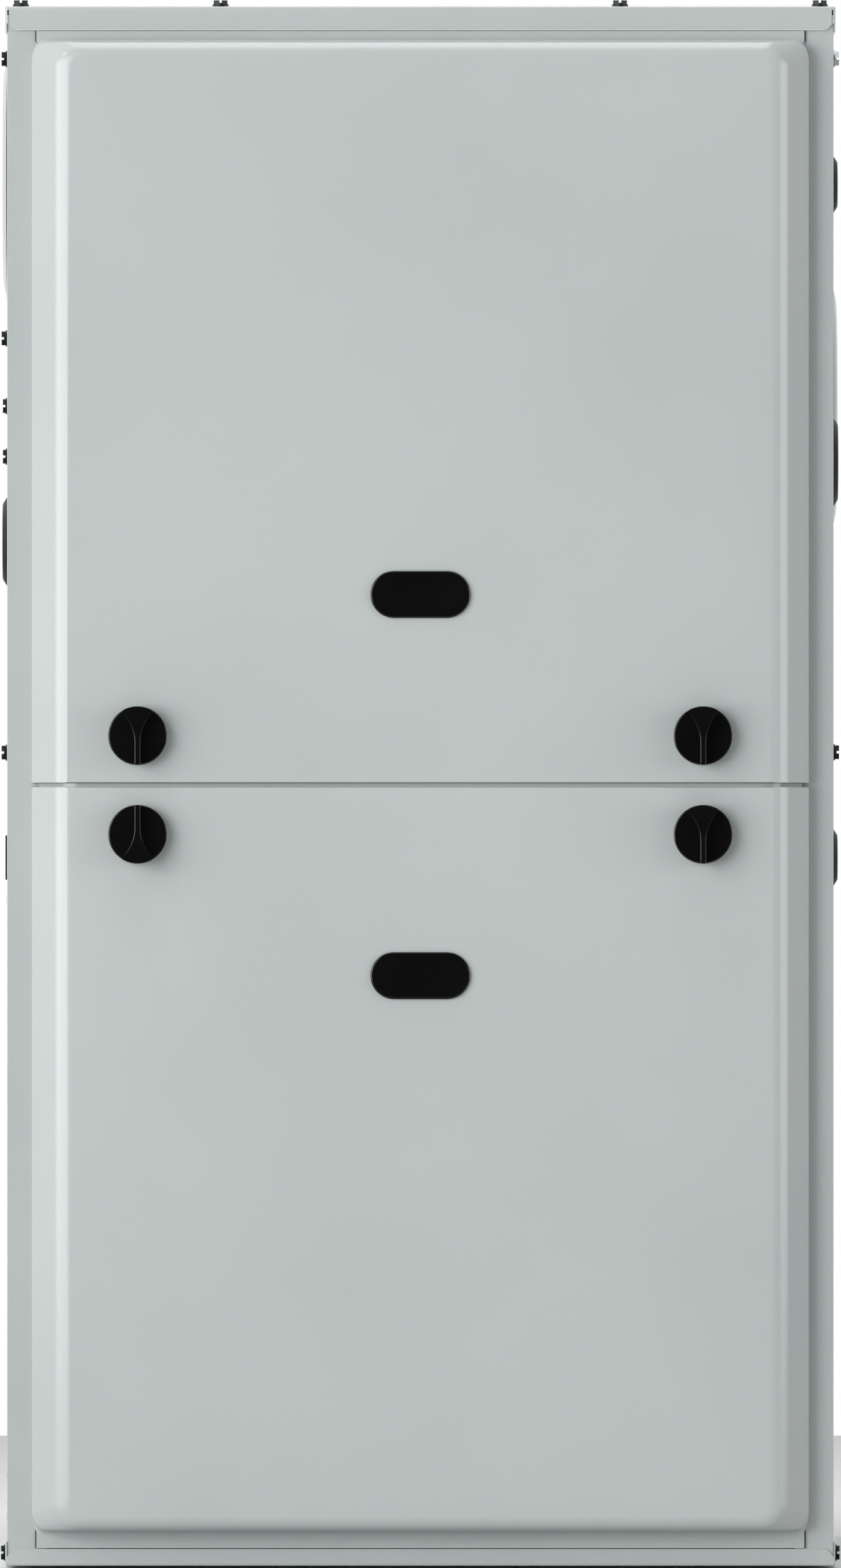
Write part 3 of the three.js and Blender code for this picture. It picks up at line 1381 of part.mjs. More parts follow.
// Plunger between its switch and the tab on the back of the lower door.
function makeDoorPlunger() {
  const tip = tabBackY + seatGap;
  const end = switchFrontY + plungerInset;
  const plunger = rod('y', 0, 0, plungerRadius, 0, end - tip);
  const mesh = piece('door_switch_plunger', plunger, 'vinyl');
  mesh.position.set(switchX, tip, plungerHeight);
  return mesh;
}

function assembly(...members) {
  const group = new THREE.Group();
  group.add(...members);
  return group;
}

const casing = assembly(
  makeWrapper(),
  makeTopCap(),
  makeBasePan(),
  makeClosurePanel(),
  makeCentreRail(),
  makeBlowerDeck(),
  makeVestibulePanel(),
  ...wallFittings.map(makeWallFitting),
  ...screwXs.map((x, i) => makeTopScrew(`top_screw_${i + 1}`, x)),
);

const upperDoor = assembly(
  makeUpperDoor(),
  makeUpperLiner(),
  makeWindow('upper_sight_window', upperWindowHeight),
  makeKnob('upper_left_knob', -knobOffsetX, splitHeight + knobOffsetZ, false),
  makeKnob('upper_right_knob', knobOffsetX, splitHeight + knobOffsetZ, false),
);

const lowerDoor = assembly(
  makeLowerDoor(),
  makeWindow('lower_sight_window', lowerWindowHeight),
  makeKnob('lower_left_knob', -knobOffsetX, splitHeight - knobOffsetZ, true),
  makeKnob('lower_right_knob', knobOffsetX, splitHeight - knobOffsetZ, false),
);

const burnerNames = ['left', 'middle', 'right'];
const gasTrain = assembly(
  makeBurnerBox(),
  ...burnerNames.map((side, i) => makeBurner(`burner_${side}`, burnerXs[i])),
  makeGasManifold(),
  makeGasValve(),
  makeGasValveSwitch(),
  makeIgniter(),
  makeFlameSensor(),
  makeRolloutSwitch(),
  makeResetButton(),
);

const heatExchangers = assembly(
  ...burnerNames.map((side, i) => makeExchangerTube(`exchanger_tube_${side}`, burnerXs[i])),
  makeCouplingBox(),
  makeSecondaryCoil(),
  makeCollectorBox(),
);

const ventTrain = assembly(
  makeInducerHousing(),
  makeInducerMotor(),
  makeInducerWheel(),
  makeVentPipe(),
  makePressureSwitch(),
  makePressureTube(),
  makeCondensateTrap(),
  makeDrainHose(),
);

const blower = assembly(
  makeBlowerHousing(),
  makeBlowerWheel(),
  makeBlowerMotor(),
  makeMotorMount(),
);

const electrical = assembly(
  makeControlBoard(),
  makeTransformer(),
  makeDoorSwitch(),
  makeDoorPlunger(),
);

const furnace = assembly(
  casing, upperDoor, lowerDoor, gasTrain, heatExchangers, ventTrain, blower, electrical,
);

export default furnace;
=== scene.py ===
import json
import math

import bmesh
import bpy
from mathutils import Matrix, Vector

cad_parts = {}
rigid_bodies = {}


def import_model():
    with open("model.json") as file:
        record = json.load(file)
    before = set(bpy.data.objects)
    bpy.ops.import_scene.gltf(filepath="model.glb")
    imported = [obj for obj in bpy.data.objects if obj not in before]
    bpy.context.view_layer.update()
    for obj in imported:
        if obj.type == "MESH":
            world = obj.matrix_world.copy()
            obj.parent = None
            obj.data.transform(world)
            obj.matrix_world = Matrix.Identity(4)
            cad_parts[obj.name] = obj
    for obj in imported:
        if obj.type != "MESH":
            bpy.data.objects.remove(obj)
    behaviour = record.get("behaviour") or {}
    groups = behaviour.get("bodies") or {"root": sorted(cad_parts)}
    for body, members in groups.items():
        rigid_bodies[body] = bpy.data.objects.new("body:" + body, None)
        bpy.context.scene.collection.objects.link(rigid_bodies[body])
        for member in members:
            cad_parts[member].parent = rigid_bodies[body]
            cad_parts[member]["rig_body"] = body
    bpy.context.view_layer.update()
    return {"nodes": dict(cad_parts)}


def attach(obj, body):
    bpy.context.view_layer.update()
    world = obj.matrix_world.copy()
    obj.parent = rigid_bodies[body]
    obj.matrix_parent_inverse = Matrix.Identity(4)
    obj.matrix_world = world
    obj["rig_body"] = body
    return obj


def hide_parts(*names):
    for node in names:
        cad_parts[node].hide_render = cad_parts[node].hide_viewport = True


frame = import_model()
print("frame loaded:", len(frame["nodes"]), "nodes")

mm = 0.001
scene = bpy.context.scene
scene.view_settings.view_transform = "Standard"


# Camera, floor and light.

photo = {"down": 2199, "mmPerPixel": 0.3831, "lens": 700, "sensor": 36, "shiftX": 0.1, "clipEnd": 100}
casing = {"frontY": -352.5, "halfWidth": 222.1, "height": 839.0}


def linked(name, data):
    holder = bpy.data.objects.new(name, data)
    scene.collection.objects.link(holder)
    return holder


def makeCamera():
    shot = bpy.data.cameras.new("photoCamera")
    shot.lens = photo["lens"]
    shot.sensor_width = photo["sensor"]
    shot.clip_end = photo["clipEnd"]
    seen = photo["down"] * photo["mmPerPixel"]  # height of the picture at the casing's front
    away = seen * photo["lens"] / photo["sensor"]
    camera = linked("photoCamera", shot)
    camera.location = (photo["shiftX"] * mm, (casing["frontY"] - away) * mm, seen / 2 * mm)
    camera.rotation_euler = (math.radians(90), 0, 0)
    scene.camera = camera


studio = {
    "floorRadius": 3000, "floorTop": -0.2, "floorFoot": -5.0, "floorSteps": 96,
    "lamps": {  # direction towards the lamp, distance, width, height, watts
        "keyLamp": ((-0.60, -0.55, 0.58), 4200, 1000, 1000, 16),
        "leftSoftbox": ((-0.68, -0.72, 0.12), 4200, 3900, 2300, 156),
        "topSoftbox": ((0.00, 0.05, 1.00), 4200, 2600, 4300, 94),
        "rightSoftbox": ((0.91, -0.41, 0.02), 4200, 2400, 2600, 68),
    },
    "evenLevel": 0.195, "leftLevel": 0.18, "topLevel": 0.05,  # soft light from all round, the left, above
    "mirrorFront": 0.06, "mirrorBack": 1.0, "mirrorTilt": 0.35,
}


def toLinear(hexText):
    parts = [int(hexText[i:i + 2], 16) / 255 for i in (0, 2, 4)]
    return tuple(c / 12.92 if c <= 0.04045 else ((c + 0.055) / 1.055) ** 2.4 for c in parts) + (1.0,)


def addNode(tree, kind, settings=None, links=None):
    node = tree.nodes.new(kind)
    for key, value in (settings or {}).items():
        if isinstance(key, int) or key in node.inputs:
            node.inputs[key].default_value = value
        else:
            setattr(node, key, value)
    for key, socket in (links or {}).items():
        tree.links.new(socket, node.inputs[key])
    return node


def addLamp(name, towards, away, wide, tall, watts):
    lamp = bpy.data.lights.new(name, "AREA")
    lamp.shape = "RECTANGLE"
    lamp.size = wide * mm
    lamp.size_y = tall * mm
    lamp.energy = watts
    holder = linked(name, lamp)
    middle = Vector((0, casing["frontY"], casing["height"] / 2)) * mm
    direction = Vector(towards).normalized()
    holder.location = middle + direction * away * mm
    holder.rotation_euler = direction.to_track_quat("Z", "Y").to_euler()


def makeStudio():
    world = bpy.data.worlds.new("studio")
    scene.world = world
    world.use_nodes = True
    tree = world.node_tree
    tree.nodes.clear()
    way = addNode(tree, "ShaderNodeSeparateXYZ", None,
                  {0: addNode(tree, "ShaderNodeTexCoord").outputs["Generated"]})
    leftward = addNode(tree, "ShaderNodeMapRange", {
        "From Min": 0.0, "From Max": -1.0, "To Min": studio["evenLevel"],
        "To Max": studio["evenLevel"] + studio["leftLevel"]}, {"Value": way.outputs["X"]})
    upward = addNode(tree, "ShaderNodeMapRange", {"To Max": studio["topLevel"]}, {"Value": way.outputs["Z"]})
    level = addNode(tree, "ShaderNodeMath", {"operation": "ADD"},
                    {0: leftward.outputs[0], 1: upward.outputs[0]})
    soft = addNode(tree, "ShaderNodeBackground", {"Color": (1, 1, 1, 1)}, {"Strength": level.outputs[0]})
    # What shiny surfaces mirror: a white backdrop and sides, a dark zone round
    # the camera, a dimmer right side.
    around = addNode(tree, "ShaderNodeMapRange", {
        "From Min": -0.97, "From Max": -0.3, "To Min": studio["mirrorFront"], "To Max": studio["mirrorBack"]},
        {"Value": way.outputs["Y"]})
    sideways = addNode(tree, "ShaderNodeMapRange", {
        "From Min": -1.0, "To Min": 1.0 + studio["mirrorTilt"], "To Max": 1.0 - studio["mirrorTilt"]},
        {"Value": way.outputs["X"]})
    shown = addNode(tree, "ShaderNodeMath", {"operation": "MULTIPLY"},
                    {0: around.outputs[0], 1: sideways.outputs[0]})
    mirrored = addNode(tree, "ShaderNodeBackground", {"Color": (1, 1, 1, 1)}, {"Strength": shown.outputs[0]})
    white = addNode(tree, "ShaderNodeBackground", {"Color": (1, 1, 1, 1), "Strength": 1.0})
    rays = addNode(tree, "ShaderNodeLightPath")
    shiny = addNode(tree, "ShaderNodeMixShader", None,
                    {0: rays.outputs["Is Glossy Ray"], 1: soft.outputs[0], 2: mirrored.outputs[0]})
    clear = addNode(tree, "ShaderNodeMath", {"operation": "MAXIMUM"},
                    {0: rays.outputs["Is Camera Ray"], 1: rays.outputs["Is Transmission Ray"]})
    mixed = addNode(tree, "ShaderNodeMixShader", None,
                    {0: clear.outputs[0], 1: shiny.outputs[0], 2: white.outputs[0]})
    addNode(tree, "ShaderNodeOutputWorld", None, {"Surface": mixed.outputs[0]})
    for name, (towards, away, wide, tall, watts) in studio["lamps"].items():
        addLamp(name, towards, away, wide, tall, watts)


# Finishes.

def newFinish(name):
    material = bpy.data.materials.new(name)
    material.use_nodes = True
    tree = material.node_tree
    tree.nodes.clear()
    surface = addNode(tree, "ShaderNodeBsdfPrincipled")
    addNode(tree, "ShaderNodeOutputMaterial", None, {"Surface": surface.outputs[0]})
    place = addNode(tree, "ShaderNodeTexCoord").outputs["Object"]
    return material, tree, surface, place


def noiseOf(tree, place, sizeMm, detail=3.0, stretch=(1, 1, 1)):
    spread = addNode(tree, "ShaderNodeMapping", {"Scale": stretch}, {"Vector": place})
    return addNode(tree, "ShaderNodeTexNoise", {"Scale": 1000 / sizeMm, "Detail": detail},
                   {"Vector": spread.outputs[0]})


def tintBy(tree, surface, factor, darkHex, lightHex, low=0.35, high=0.65):
    ramp = addNode(tree, "ShaderNodeValToRGB", None, {"Fac": factor})
    ramp.color_ramp.elements[0].position = low
    ramp.color_ramp.elements[1].position = high
    ramp.color_ramp.elements[0].color = toLinear(darkHex)
    ramp.color_ramp.elements[1].color = toLinear(lightHex)
    tree.links.new(ramp.outputs[0], surface.inputs["Base Color"])
    return ramp


def roughBy(tree, surface, factor, low, high):
    spread = addNode(tree, "ShaderNodeMapRange", {"To Min": low, "To Max": high}, {"Value": factor})
    tree.links.new(spread.outputs[0], surface.inputs["Roughness"])


def bumpBy(tree, surface, height, reachMm, strength=0.5):
    bump = addNode(tree, "ShaderNodeBump", {"Distance": reachMm * mm, "Strength": strength},
                   {"Height": height})
    tree.links.new(bump.outputs[0], surface.inputs["Normal"])


def sprayedFinish(name, darkHex, lightHex, look):
    material, tree, surface, place = newFinish(name)
    drift = noiseOf(tree, place, look["driftMm"], 2)
    peel = noiseOf(tree, place, look["peelMm"], 2)
    tintBy(tree, surface, drift.outputs["Fac"], darkHex, lightHex)
    roughBy(tree, surface, peel.outputs["Fac"], *look["rough"])
    bumpBy(tree, surface, peel.outputs["Fac"], look["peelDepthMm"], look["peelStrength"])
    surface.inputs["IOR"].default_value = look["ior"]
    surface.inputs["Specular IOR Level"].default_value = look.get("shine", 0.5)
    return material


# Polyester powder coat, baked: satin, a faint orange peel, colour drifting by a shade over a hand's width.
coat = sprayedFinish("powderCoatedSteel", "B2B9B8", "B6BCBB", {
    "driftMm": 140, "peelMm": 2.2, "peelDepthMm": 0.03, "peelStrength": 0.25,
    "rough": (0.18, 0.24), "ior": 1.5,
})
# Glass filled nylon, moulded and polished: near black, sharp reflections, the least waviness.
glossBlack = sprayedFinish("polishedBlackNylon", "080808", "0B0B0B", {
    "driftMm": 30, "peelMm": 6, "peelDepthMm": 0.02, "peelStrength": 0.15,
    "rough": (0.08, 0.12), "ior": 1.5, "shine": 0.35,
})
# Polypropylene and ABS mouldings: dark, half matt, fine spark eroded grain.
darkPlastic = sprayedFinish("grainedDarkPlastic", "0C0D0E", "131415", {
    "driftMm": 25, "peelMm": 0.9, "peelDepthMm": 0.04, "peelStrength": 0.5,
    "rough": (0.42, 0.55), "ior": 1.49, "shine": 0.2,
})
# White vent pipe: extruded PVC, slightly cream, soft gloss.
ventPlastic = sprayedFinish("extrudedVentPvc", "DAD9D2", "E4E3DC", {
    "driftMm": 60, "peelMm": 3, "peelDepthMm": 0.03, "peelStrength": 0.2,
    "rough": (0.3, 0.4), "ior": 1.53,
})
# Red button and rocker: moulded nylon.
redPlastic = sprayedFinish("mouldedRedNylon", "A31510", "B81D15", {
    "driftMm": 12, "peelMm": 1, "peelDepthMm": 0.02, "peelStrength": 0.3,
    "rough": (0.25, 0.35), "ior": 1.5,
})
# Silicon nitride and steatite: matt, chalky off white.
ceramic = sprayedFinish("firedCeramic", "CFC9BC", "DDD8CC", {
    "driftMm": 8, "peelMm": 0.6, "peelDepthMm": 0.05, "peelStrength": 0.6,
    "rough": (0.65, 0.8), "ior": 1.6,
})


def metalFinish(name, darkHex, lightHex, look):
    material, tree, surface, place = newFinish(name)
    grain = noiseOf(tree, place, look["grainMm"], 4, look.get("stretch", (1, 1, 1)))
    stain = noiseOf(tree, place, look["stainMm"], 3)
    blend = addNode(tree, "ShaderNodeMath", {"operation": "MULTIPLY_ADD", 1: look["grainShare"]},
                    {0: grain.outputs["Fac"], 2: stain.outputs["Fac"]})
    tintBy(tree, surface, blend.outputs[0], darkHex, lightHex, *look["tint"])
    roughBy(tree, surface, grain.outputs["Fac"], *look["rough"])
    bumpBy(tree, surface, grain.outputs["Fac"], look["grainDepthMm"], look["bump"])
    surface.inputs["Metallic"].default_value = look["metallic"]
    return material


# Rolled stainless: long fine lines along the sheet, warm grey.
stainless = metalFinish("rolledStainless", "8F9092", "B9BABC", {
    "grainMm": 1.6, "stretch": (1, 12, 12), "stainMm": 60, "grainShare": 0.5,
    "tint": (0.4, 1.0), "rough": (0.22, 0.36),
    "grainDepthMm": 0.02, "bump": 0.3, "metallic": 1.0,
})
# Aluminised steel tube: matt silver, cloudy dip coat, heat stains.
aluminised = metalFinish("aluminisedSteel", "8A8B8A", "C2C3C2", {
    "grainMm": 2.4, "stainMm": 35, "grainShare": 0.4,
    "tint": (0.35, 0.95), "rough": (0.4, 0.55),
    "grainDepthMm": 0.03, "bump": 0.4, "metallic": 0.9,
})
# Die cast aluminium: pale, sandy skin.
castMetal = metalFinish("dieCastAluminium", "9B9C9D", "BFC0C1", {
    "grainMm": 0.8, "stainMm": 30, "grainShare": 0.5,
    "tint": (0.4, 1.0), "rough": (0.42, 0.6),
    "grainDepthMm": 0.05, "bump": 0.6, "metallic": 0.9,
})
# Aluminium fin stock: bright, thin, slightly dusty.
finMetal = metalFinish("bareFinStock", "A9ABAD", "CDCFD0", {
    "grainMm": 1.2, "stretch": (1, 6, 1), "stainMm": 40, "grainShare": 0.4,
    "tint": (0.4, 0.95), "rough": (0.3, 0.42),
    "grainDepthMm": 0.02, "bump": 0.3, "metallic": 1.0,
})
# Black phosphate on steel: near black with a dull metallic shine.
blackSteel = metalFinish("blackPhosphatedSteel", "0E1213", "171C1C", {
    "grainMm": 0.5, "stainMm": 8, "grainShare": 0.5,
    "tint": (0.4, 1.0), "rough": (0.3, 0.45),
    "grainDepthMm": 0.02, "bump": 0.3, "metallic": 0.6,
})
# Zinc plated steel screw: bright, bluish, a little cloudy.
zincSteel = metalFinish("zincPlatedSteel", "A9AEB3", "CBD0D4", {
    "grainMm": 0.6, "stainMm": 6, "grainShare": 0.5,
    "tint": (0.4, 1.0), "rough": (0.25, 0.35),
    "grainDepthMm": 0.01, "bump": 0.08, "metallic": 1.0,
})


def galvanisedFinish():
    material, tree, surface, place = newFinish("spangledGalvanisedSheet")
    spangle = addNode(tree, "ShaderNodeTexVoronoi", {"Scale": 1000 / 9}, {"Vector": place})
    shade = addNode(tree, "ShaderNodeSeparateColor", None, {"Color": spangle.outputs["Color"]})
    tintBy(tree, surface, shade.outputs[0], "8D9294", "B4B9BB", 0.0, 1.0)
    roughBy(tree, surface, shade.outputs[1], 0.34, 0.5)
    bumpBy(tree, surface, noiseOf(tree, place, 3, 3).outputs["Fac"], 0.02, 0.3)
    surface.inputs["Metallic"].default_value = 0.85
    return material


# Hot dip galvanised sheet: zinc spangles about 9 mm across, each a slightly different grey.
galvanised = galvanisedFinish()


def linerFinish():
    material, tree, surface, place = newFinish("foilFacedGlassFibre")
    crease = addNode(tree, "ShaderNodeTexVoronoi", {"Scale": 1000 / 26, "feature": "DISTANCE_TO_EDGE"},
                     {"Vector": place})
    fibre = noiseOf(tree, place, 1.4, 5, (1, 1, 5))
    tintBy(tree, surface, fibre.outputs["Fac"], "9EA09C", "C8C9C4")
    roughBy(tree, surface, fibre.outputs["Fac"], 0.35, 0.6)
    bumpBy(tree, surface, crease.outputs["Distance"], 0.6, 0.35)
    surface.inputs["Metallic"].default_value = 0.55
    return material


# Glass fibre blanket with a foil face: dull silver, creased into patches, fibres showing through.
liner = linerFinish()


def boardFinish():
    material, tree, surface, place = newFinish("solderMaskedBoard")
    tracks = addNode(tree, "ShaderNodeTexBrick", {
        "Scale": 1000 / 12, "Color1": toLinear("1E5A34"), "Color2": toLinear("17492A"),
        "Mortar": toLinear("3C7D4E"), "Mortar Size": 0.06}, {
        "Vector": addNode(tree, "ShaderNodeMapping", {"Rotation": (0, math.radians(90), 0)},
                          {"Vector": place}).outputs[0]})
    tree.links.new(tracks.outputs["Color"], surface.inputs["Base Color"])
    bumpBy(tree, surface, tracks.outputs["Fac"], 0.05, 0.4)
    surface.inputs["Roughness"].default_value = 0.3
    return material


# Glass epoxy board: green solder mask over paler copper tracks.
board = boardFinish()


def vinylFinish():
    material, tree, surface, place = newFinish("clearVinyl")
    haze = noiseOf(tree, place, 8, 2)
    tintBy(tree, surface, haze.outputs["Fac"], "DDE3E2", "F0F4F3")
    roughBy(tree, surface, haze.outputs["Fac"], 0.08, 0.2)
    surface.inputs["Transmission Weight"].default_value = 0.6
    surface.inputs["IOR"].default_value = 1.53
    return material


# Plasticised PVC hose: clear, a little milky.
clearVinyl = vinylFinish()
print("finishes made:", len(bpy.data.materials))


# Mesh helpers, sizes in millimetres.

def smoothed(mesh, name, angle):
    mesh.name = name
    mesh.shade_smooth()
    mesh.set_sharp_from_angle(angle=math.radians(angle))
    return mesh


def meshFrom(name, shape, angle=32):
    points, faces = shape
    mesh = bpy.data.meshes.new(name)
    form = bmesh.new()
    verts = [form.verts.new(Vector(p) * mm) for p in points]
    for face in faces:
        if len(set(face)) > 2:
            form.faces.new([verts[i] for i in face])
    bmesh.ops.remove_doubles(form, verts=form.verts, dist=0.5e-6)
    bmesh.ops.recalc_face_normals(form, faces=form.faces)
    form.to_mesh(mesh)
    form.free()
    return smoothed(mesh, name, angle)


def bakedMesh(holder):
    bpy.context.view_layer.update()
    seen = holder.evaluated_get(bpy.context.evaluated_depsgraph_get())
    mesh = bpy.data.meshes.new_from_object(seen)
    bpy.data.objects.remove(holder)
    return mesh


def addPiece(name, mesh, body, material, nodes=()):
    holder = linked(name, mesh)
    mesh.materials.clear()
    mesh.materials.append(material)
    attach(holder, body)
    if nodes:
        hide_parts(*nodes)


def addShape(name, shape, body, material, nodes=(), angle=32):
    addPiece(name, meshFrom(name, shape, angle), body, material, nodes)


def loftRings(rings, closeStart=True, closeEnd=True):
    count = len(rings[0])
    points = [p for ring in rings for p in ring]
    faces = []
    for level in range(len(rings) - 1):
        base = level * count
        for i in range(count):
            j = (i + 1) % count
            faces.append((base + i, base + j, base + count + j, base + count + i))
    if closeStart:
        faces.append(tuple(range(count)))
    if closeEnd:
        last = (len(rings) - 1) * count
        faces.append(tuple(reversed(range(last, last + count))))
    return points, faces


def arcAngles(start, end, steps):
    return [math.radians(start + (end - start) * i / steps) for i in range(steps + 1)]


def stadiumRing(width, height, middle, depth, steps=24):
    radius = height / 2
    straight = width / 2 - radius
    ring = []
    for side, start in ((1, -90), (-1, 90)):
        for a in arcAngles(start, start + 180, steps):
            ring.append((middle[0] + side * straight + radius * math.cos(a), depth,
                         middle[1] + radius * math.sin(a)))
    return ring


def circleRing(radius, middle, depth, steps=40):
    return [(middle[0] + radius * math.cos(a), depth, middle[1] + radius * math.sin(a))
            for a in arcAngles(0, 360 - 360 / steps, steps - 1)]


# Doors.

door = {
    "halfWidth": 208.8, "endHalfWidth": 206.4, "depth": 24.0, "sheet": 0.9, "lip": 6.0,
    "flankStart": 8.6, "flankBend": 16.0, "returnBend": 1.6, "endBend": 8.0, "splitBend": 0.8,
    "baseCorner": (7.0, 10.6), "bendCorner": (13.5, 13.5), "faceCorner": (9.0, 9.5),
    "cornerSteps": 14, "backY": -352.8,
    "studHole": 4.5, "knobX": 151.7, "tangent": 19.3, "lipCorner": 2.0, "flareCorner": 0.6,
    "levels": (3.0, 5.0, 7.0, 8.0, 8.6, 9.2, 10.5, 12.0, 14.0, 16.0, 18.0, 19.314), "levelGap": 0.004,
    # strip sizes: dark strips painted in as shade in the gaps beside the door's end flanges
    "shadeStripWidth": 0.6, "shadeStripGap": 0.05, "shadeStripDeep": 0.7,
    "tongueBack": 4.6, "tongueSide": 3.8, "tongueTop": 421.7, "tongueFoot": 419.0,
}
doorSets = {
    "upper": {"end": 819.8, "split": 421.95, "flangeEnd": 825.85, "fillet": 1.4,
              "window": 522.9, "knobZ": 447.15},
    "lower": {"end": 20.5, "split": 419.45, "flangeEnd": 10.75, "fillet": 4.0,
              "window": 318.4, "knobZ": 394.25},
}
window = {"width": 53.6, "height": 25.3, "proud": 2.0, "wall": 3.0, "edge": 0.9, "bossReach": 4.9,
          "cutIn": 5.4, "foot": 0.3, "flatIn": 1}
switchTab = ((85, 105), (-375.95, -360.2), (346.5, 373.1))  # x, y and z of the tab that works the door switch
sin45 = 0.7071


def flankInset(depth):
    full = door["depth"]
    bend = door["flankBend"]
    tangent = full - bend * (1 - math.cos(math.radians(45)))
    start = door["flankStart"]
    small = door["returnBend"] * math.tan(math.radians(22.5))
    if depth <= start - small:
        return 0.0
    if depth < start + small * sin45:
        along = (depth - (start - small)) / (small * (1 + sin45))
        return small * sin45 * along * along
    if depth <= tangent:
        return depth - start
    faceEdge = full - start + bend * math.tan(math.radians(22.5))
    rise = min(1.0, (depth - (full - bend)) / bend)
    return faceEdge - bend * math.sqrt(max(0.0, 1 - rise * rise))


def bendInset(depth, bend):
    rise = depth - (door["depth"] - bend)
    return 0.0 if rise <= 0 else bend - math.sqrt(max(0.0, bend * bend - rise * rise))


def filletFlare(depth, fillet):
    up = depth - door["sheet"]
    if up >= fillet:
        return 0.0
    up = max(up, 0.0)
    return fillet - math.sqrt(max(0.0, fillet * fillet - (fillet - up) ** 2))


def easeBetween(a, b, share):
    share = max(0.0, min(1.0, share))
    share = share * share * (3 - 2 * share)
    return a + (b - a) * share


def cornerAt(depth, axis):
    start, tangent = door["flankStart"], door["tangent"]
    base, bend, face = (door[key][axis] for key in ("baseCorner", "bendCorner", "faceCorner"))
    if depth <= tangent:
        return easeBetween(base, bend, (depth - start) / (tangent - start))
    return easeBetween(bend, face, (depth - tangent) / (door["depth"] - tangent))


def doorRing(which, depth, sideInset, endInset, splitInset, cornerX, cornerZ, y):
    spot = doorSets[which]
    up = 1 if spot["end"] > spot["split"] else -1
    half = door["halfWidth"] - sideInset
    endZ = spot["end"] - up * endInset
    splitZ = spot["split"] + up * splitInset
    ring = []
    for side in (-1, 1):
        first = 180 if side < 0 else 90
        for a in arcAngles(first, first - 90, door["cornerSteps"]):
            ring.append((side * (half - cornerX) + cornerX * math.cos(a), y,
                         endZ - up * cornerZ + up * cornerZ * math.sin(a)))
    ring.append((half, y, splitZ))
    ring.append((-half, y, splitZ))
    return ring


def doorLevels():
    full = door["depth"]
    fillet = doorSets["lower"]["fillet"]
    levels = {0.0, door["sheet"], *door["levels"]}
    levels |= {door["sheet"] + fillet * (1 - math.cos(a)) for a in arcAngles(0, 90, 6)}
    levels |= {full - door["flankBend"] * (1 - math.cos(a)) for a in arcAngles(0, 45, 10)}
    levels |= {full - door["endBend"] * (1 - math.sin(a)) for a in arcAngles(0, 90, 10)}
    levels |= {full - door["splitBend"] * (1 - math.sin(a)) for a in arcAngles(0, 90, 4)}
    kept = []
    for level in sorted(levels):
        if not kept or level - kept[-1] > door["levelGap"]:
            kept.append(level)
    kept[-1] = full
    return kept


def fillFlat(rim, holes):
    form = bmesh.new()
    edges = []
    for loop in [rim, *holes]:
        verts = [form.verts.new(p) for p in loop]
        edges += [form.edges.new((verts[i], verts[(i + 1) % len(verts)])) for i in range(len(verts))]
    bmesh.ops.triangle_fill(form, edges=edges, use_beauty=True)
    form.verts.index_update()
    points = [tuple(v.co) for v in form.verts]
    faces = [tuple(v.index for v in f.verts) for f in form.faces]
    form.free()
    return points, faces


def boxOf(x0, x1, y0, y1, z0, z1):
    points = [(x, y, z) for x in (x0, x1) for y in (y0, y1) for z in (z0, z1)]
    faces = [(0, 1, 3, 2), (4, 6, 7, 5), (0, 4, 5, 1), (2, 3, 7, 6), (0, 2, 6, 4), (1, 5, 7, 3)]
    return points, faces


def mergeParts(parts):
    points, faces = [], []
    for morePoints, moreFaces in parts:
        base = len(points)
        points += list(morePoints)
        faces += [tuple(base + i for i in f) for f in moreFaces]
    return points, faces


def makeDoor(which):
    spot = doorSets[which]
    sheet, lip, back = door["sheet"], door["lip"], door["backY"]
    outer = []
    for depth in doorLevels():
        flare = filletFlare(depth, spot["fillet"])
        outer.append(doorRing(
            which, depth, flankInset(depth), bendInset(depth, door["endBend"]) - flare,
            bendInset(depth, door["splitBend"]), cornerAt(depth, 0),
            cornerAt(depth, 1) + flare * door["flareCorner"], back - depth))
    innerDepths = {d for d in doorLevels() if sheet <= d <= door["depth"] - sheet}
    innerDepths.add(door["depth"] - sheet)
    inner = [doorRing(which, depth, flankInset(depth) + sheet, bendInset(depth, door["endBend"]) + sheet,
                      sheet, cornerAt(depth, 0), cornerAt(depth, 1), back - depth)
             for depth in sorted(innerDepths, reverse=True)]
    lips = [doorRing(which, depth, lip, sheet, sheet, door["lipCorner"], door["lipCorner"], back - depth)
            for depth in (sheet, 0)]

    def openingLoops(y):
        cut, at = window["cutIn"], door["knobX"]
        loops = [stadiumRing(window["width"] - cut, window["height"] - cut, (0, spot["window"]), y)]
        return loops + [circleRing(door["studHole"], (x, spot["knobZ"]), y) for x in (-at, at)]

    faceY = back - door["depth"]
    fronts, backs = openingLoops(faceY), openingLoops(faceY + sheet)
    parts = [loftRings(outer, False, False), loftRings([*inner, *lips, outer[0]], False, False),
             fillFlat(outer[-1], fronts), fillFlat(inner[0], backs)]
    parts += [loftRings(pair, False, False) for pair in zip(fronts, backs)]
    flangeZ = sorted((spot["end"], spot["flangeEnd"]))
    parts.append(boxOf(-door["endHalfWidth"], door["endHalfWidth"], back - sheet, back, *flangeZ))
    return mergeParts(parts)


def makeTongue():
    back, side, sheet = door["tongueBack"], door["tongueSide"], door["sheet"]
    path = [(door["halfWidth"] - flankInset(d) - side, door["backY"] - d + back)
            for d in doorLevels() if d > back]
    inner = [(x - sheet, y + sheet) for x, y in path]
    outline = [*path, *[(-x, y) for x, y in reversed(path)], *[(-x, y) for x, y in inner], *reversed(inner)]
    return loftRings([[(x, y, z) for x, y in outline] for z in (door["tongueFoot"], door["tongueTop"])])


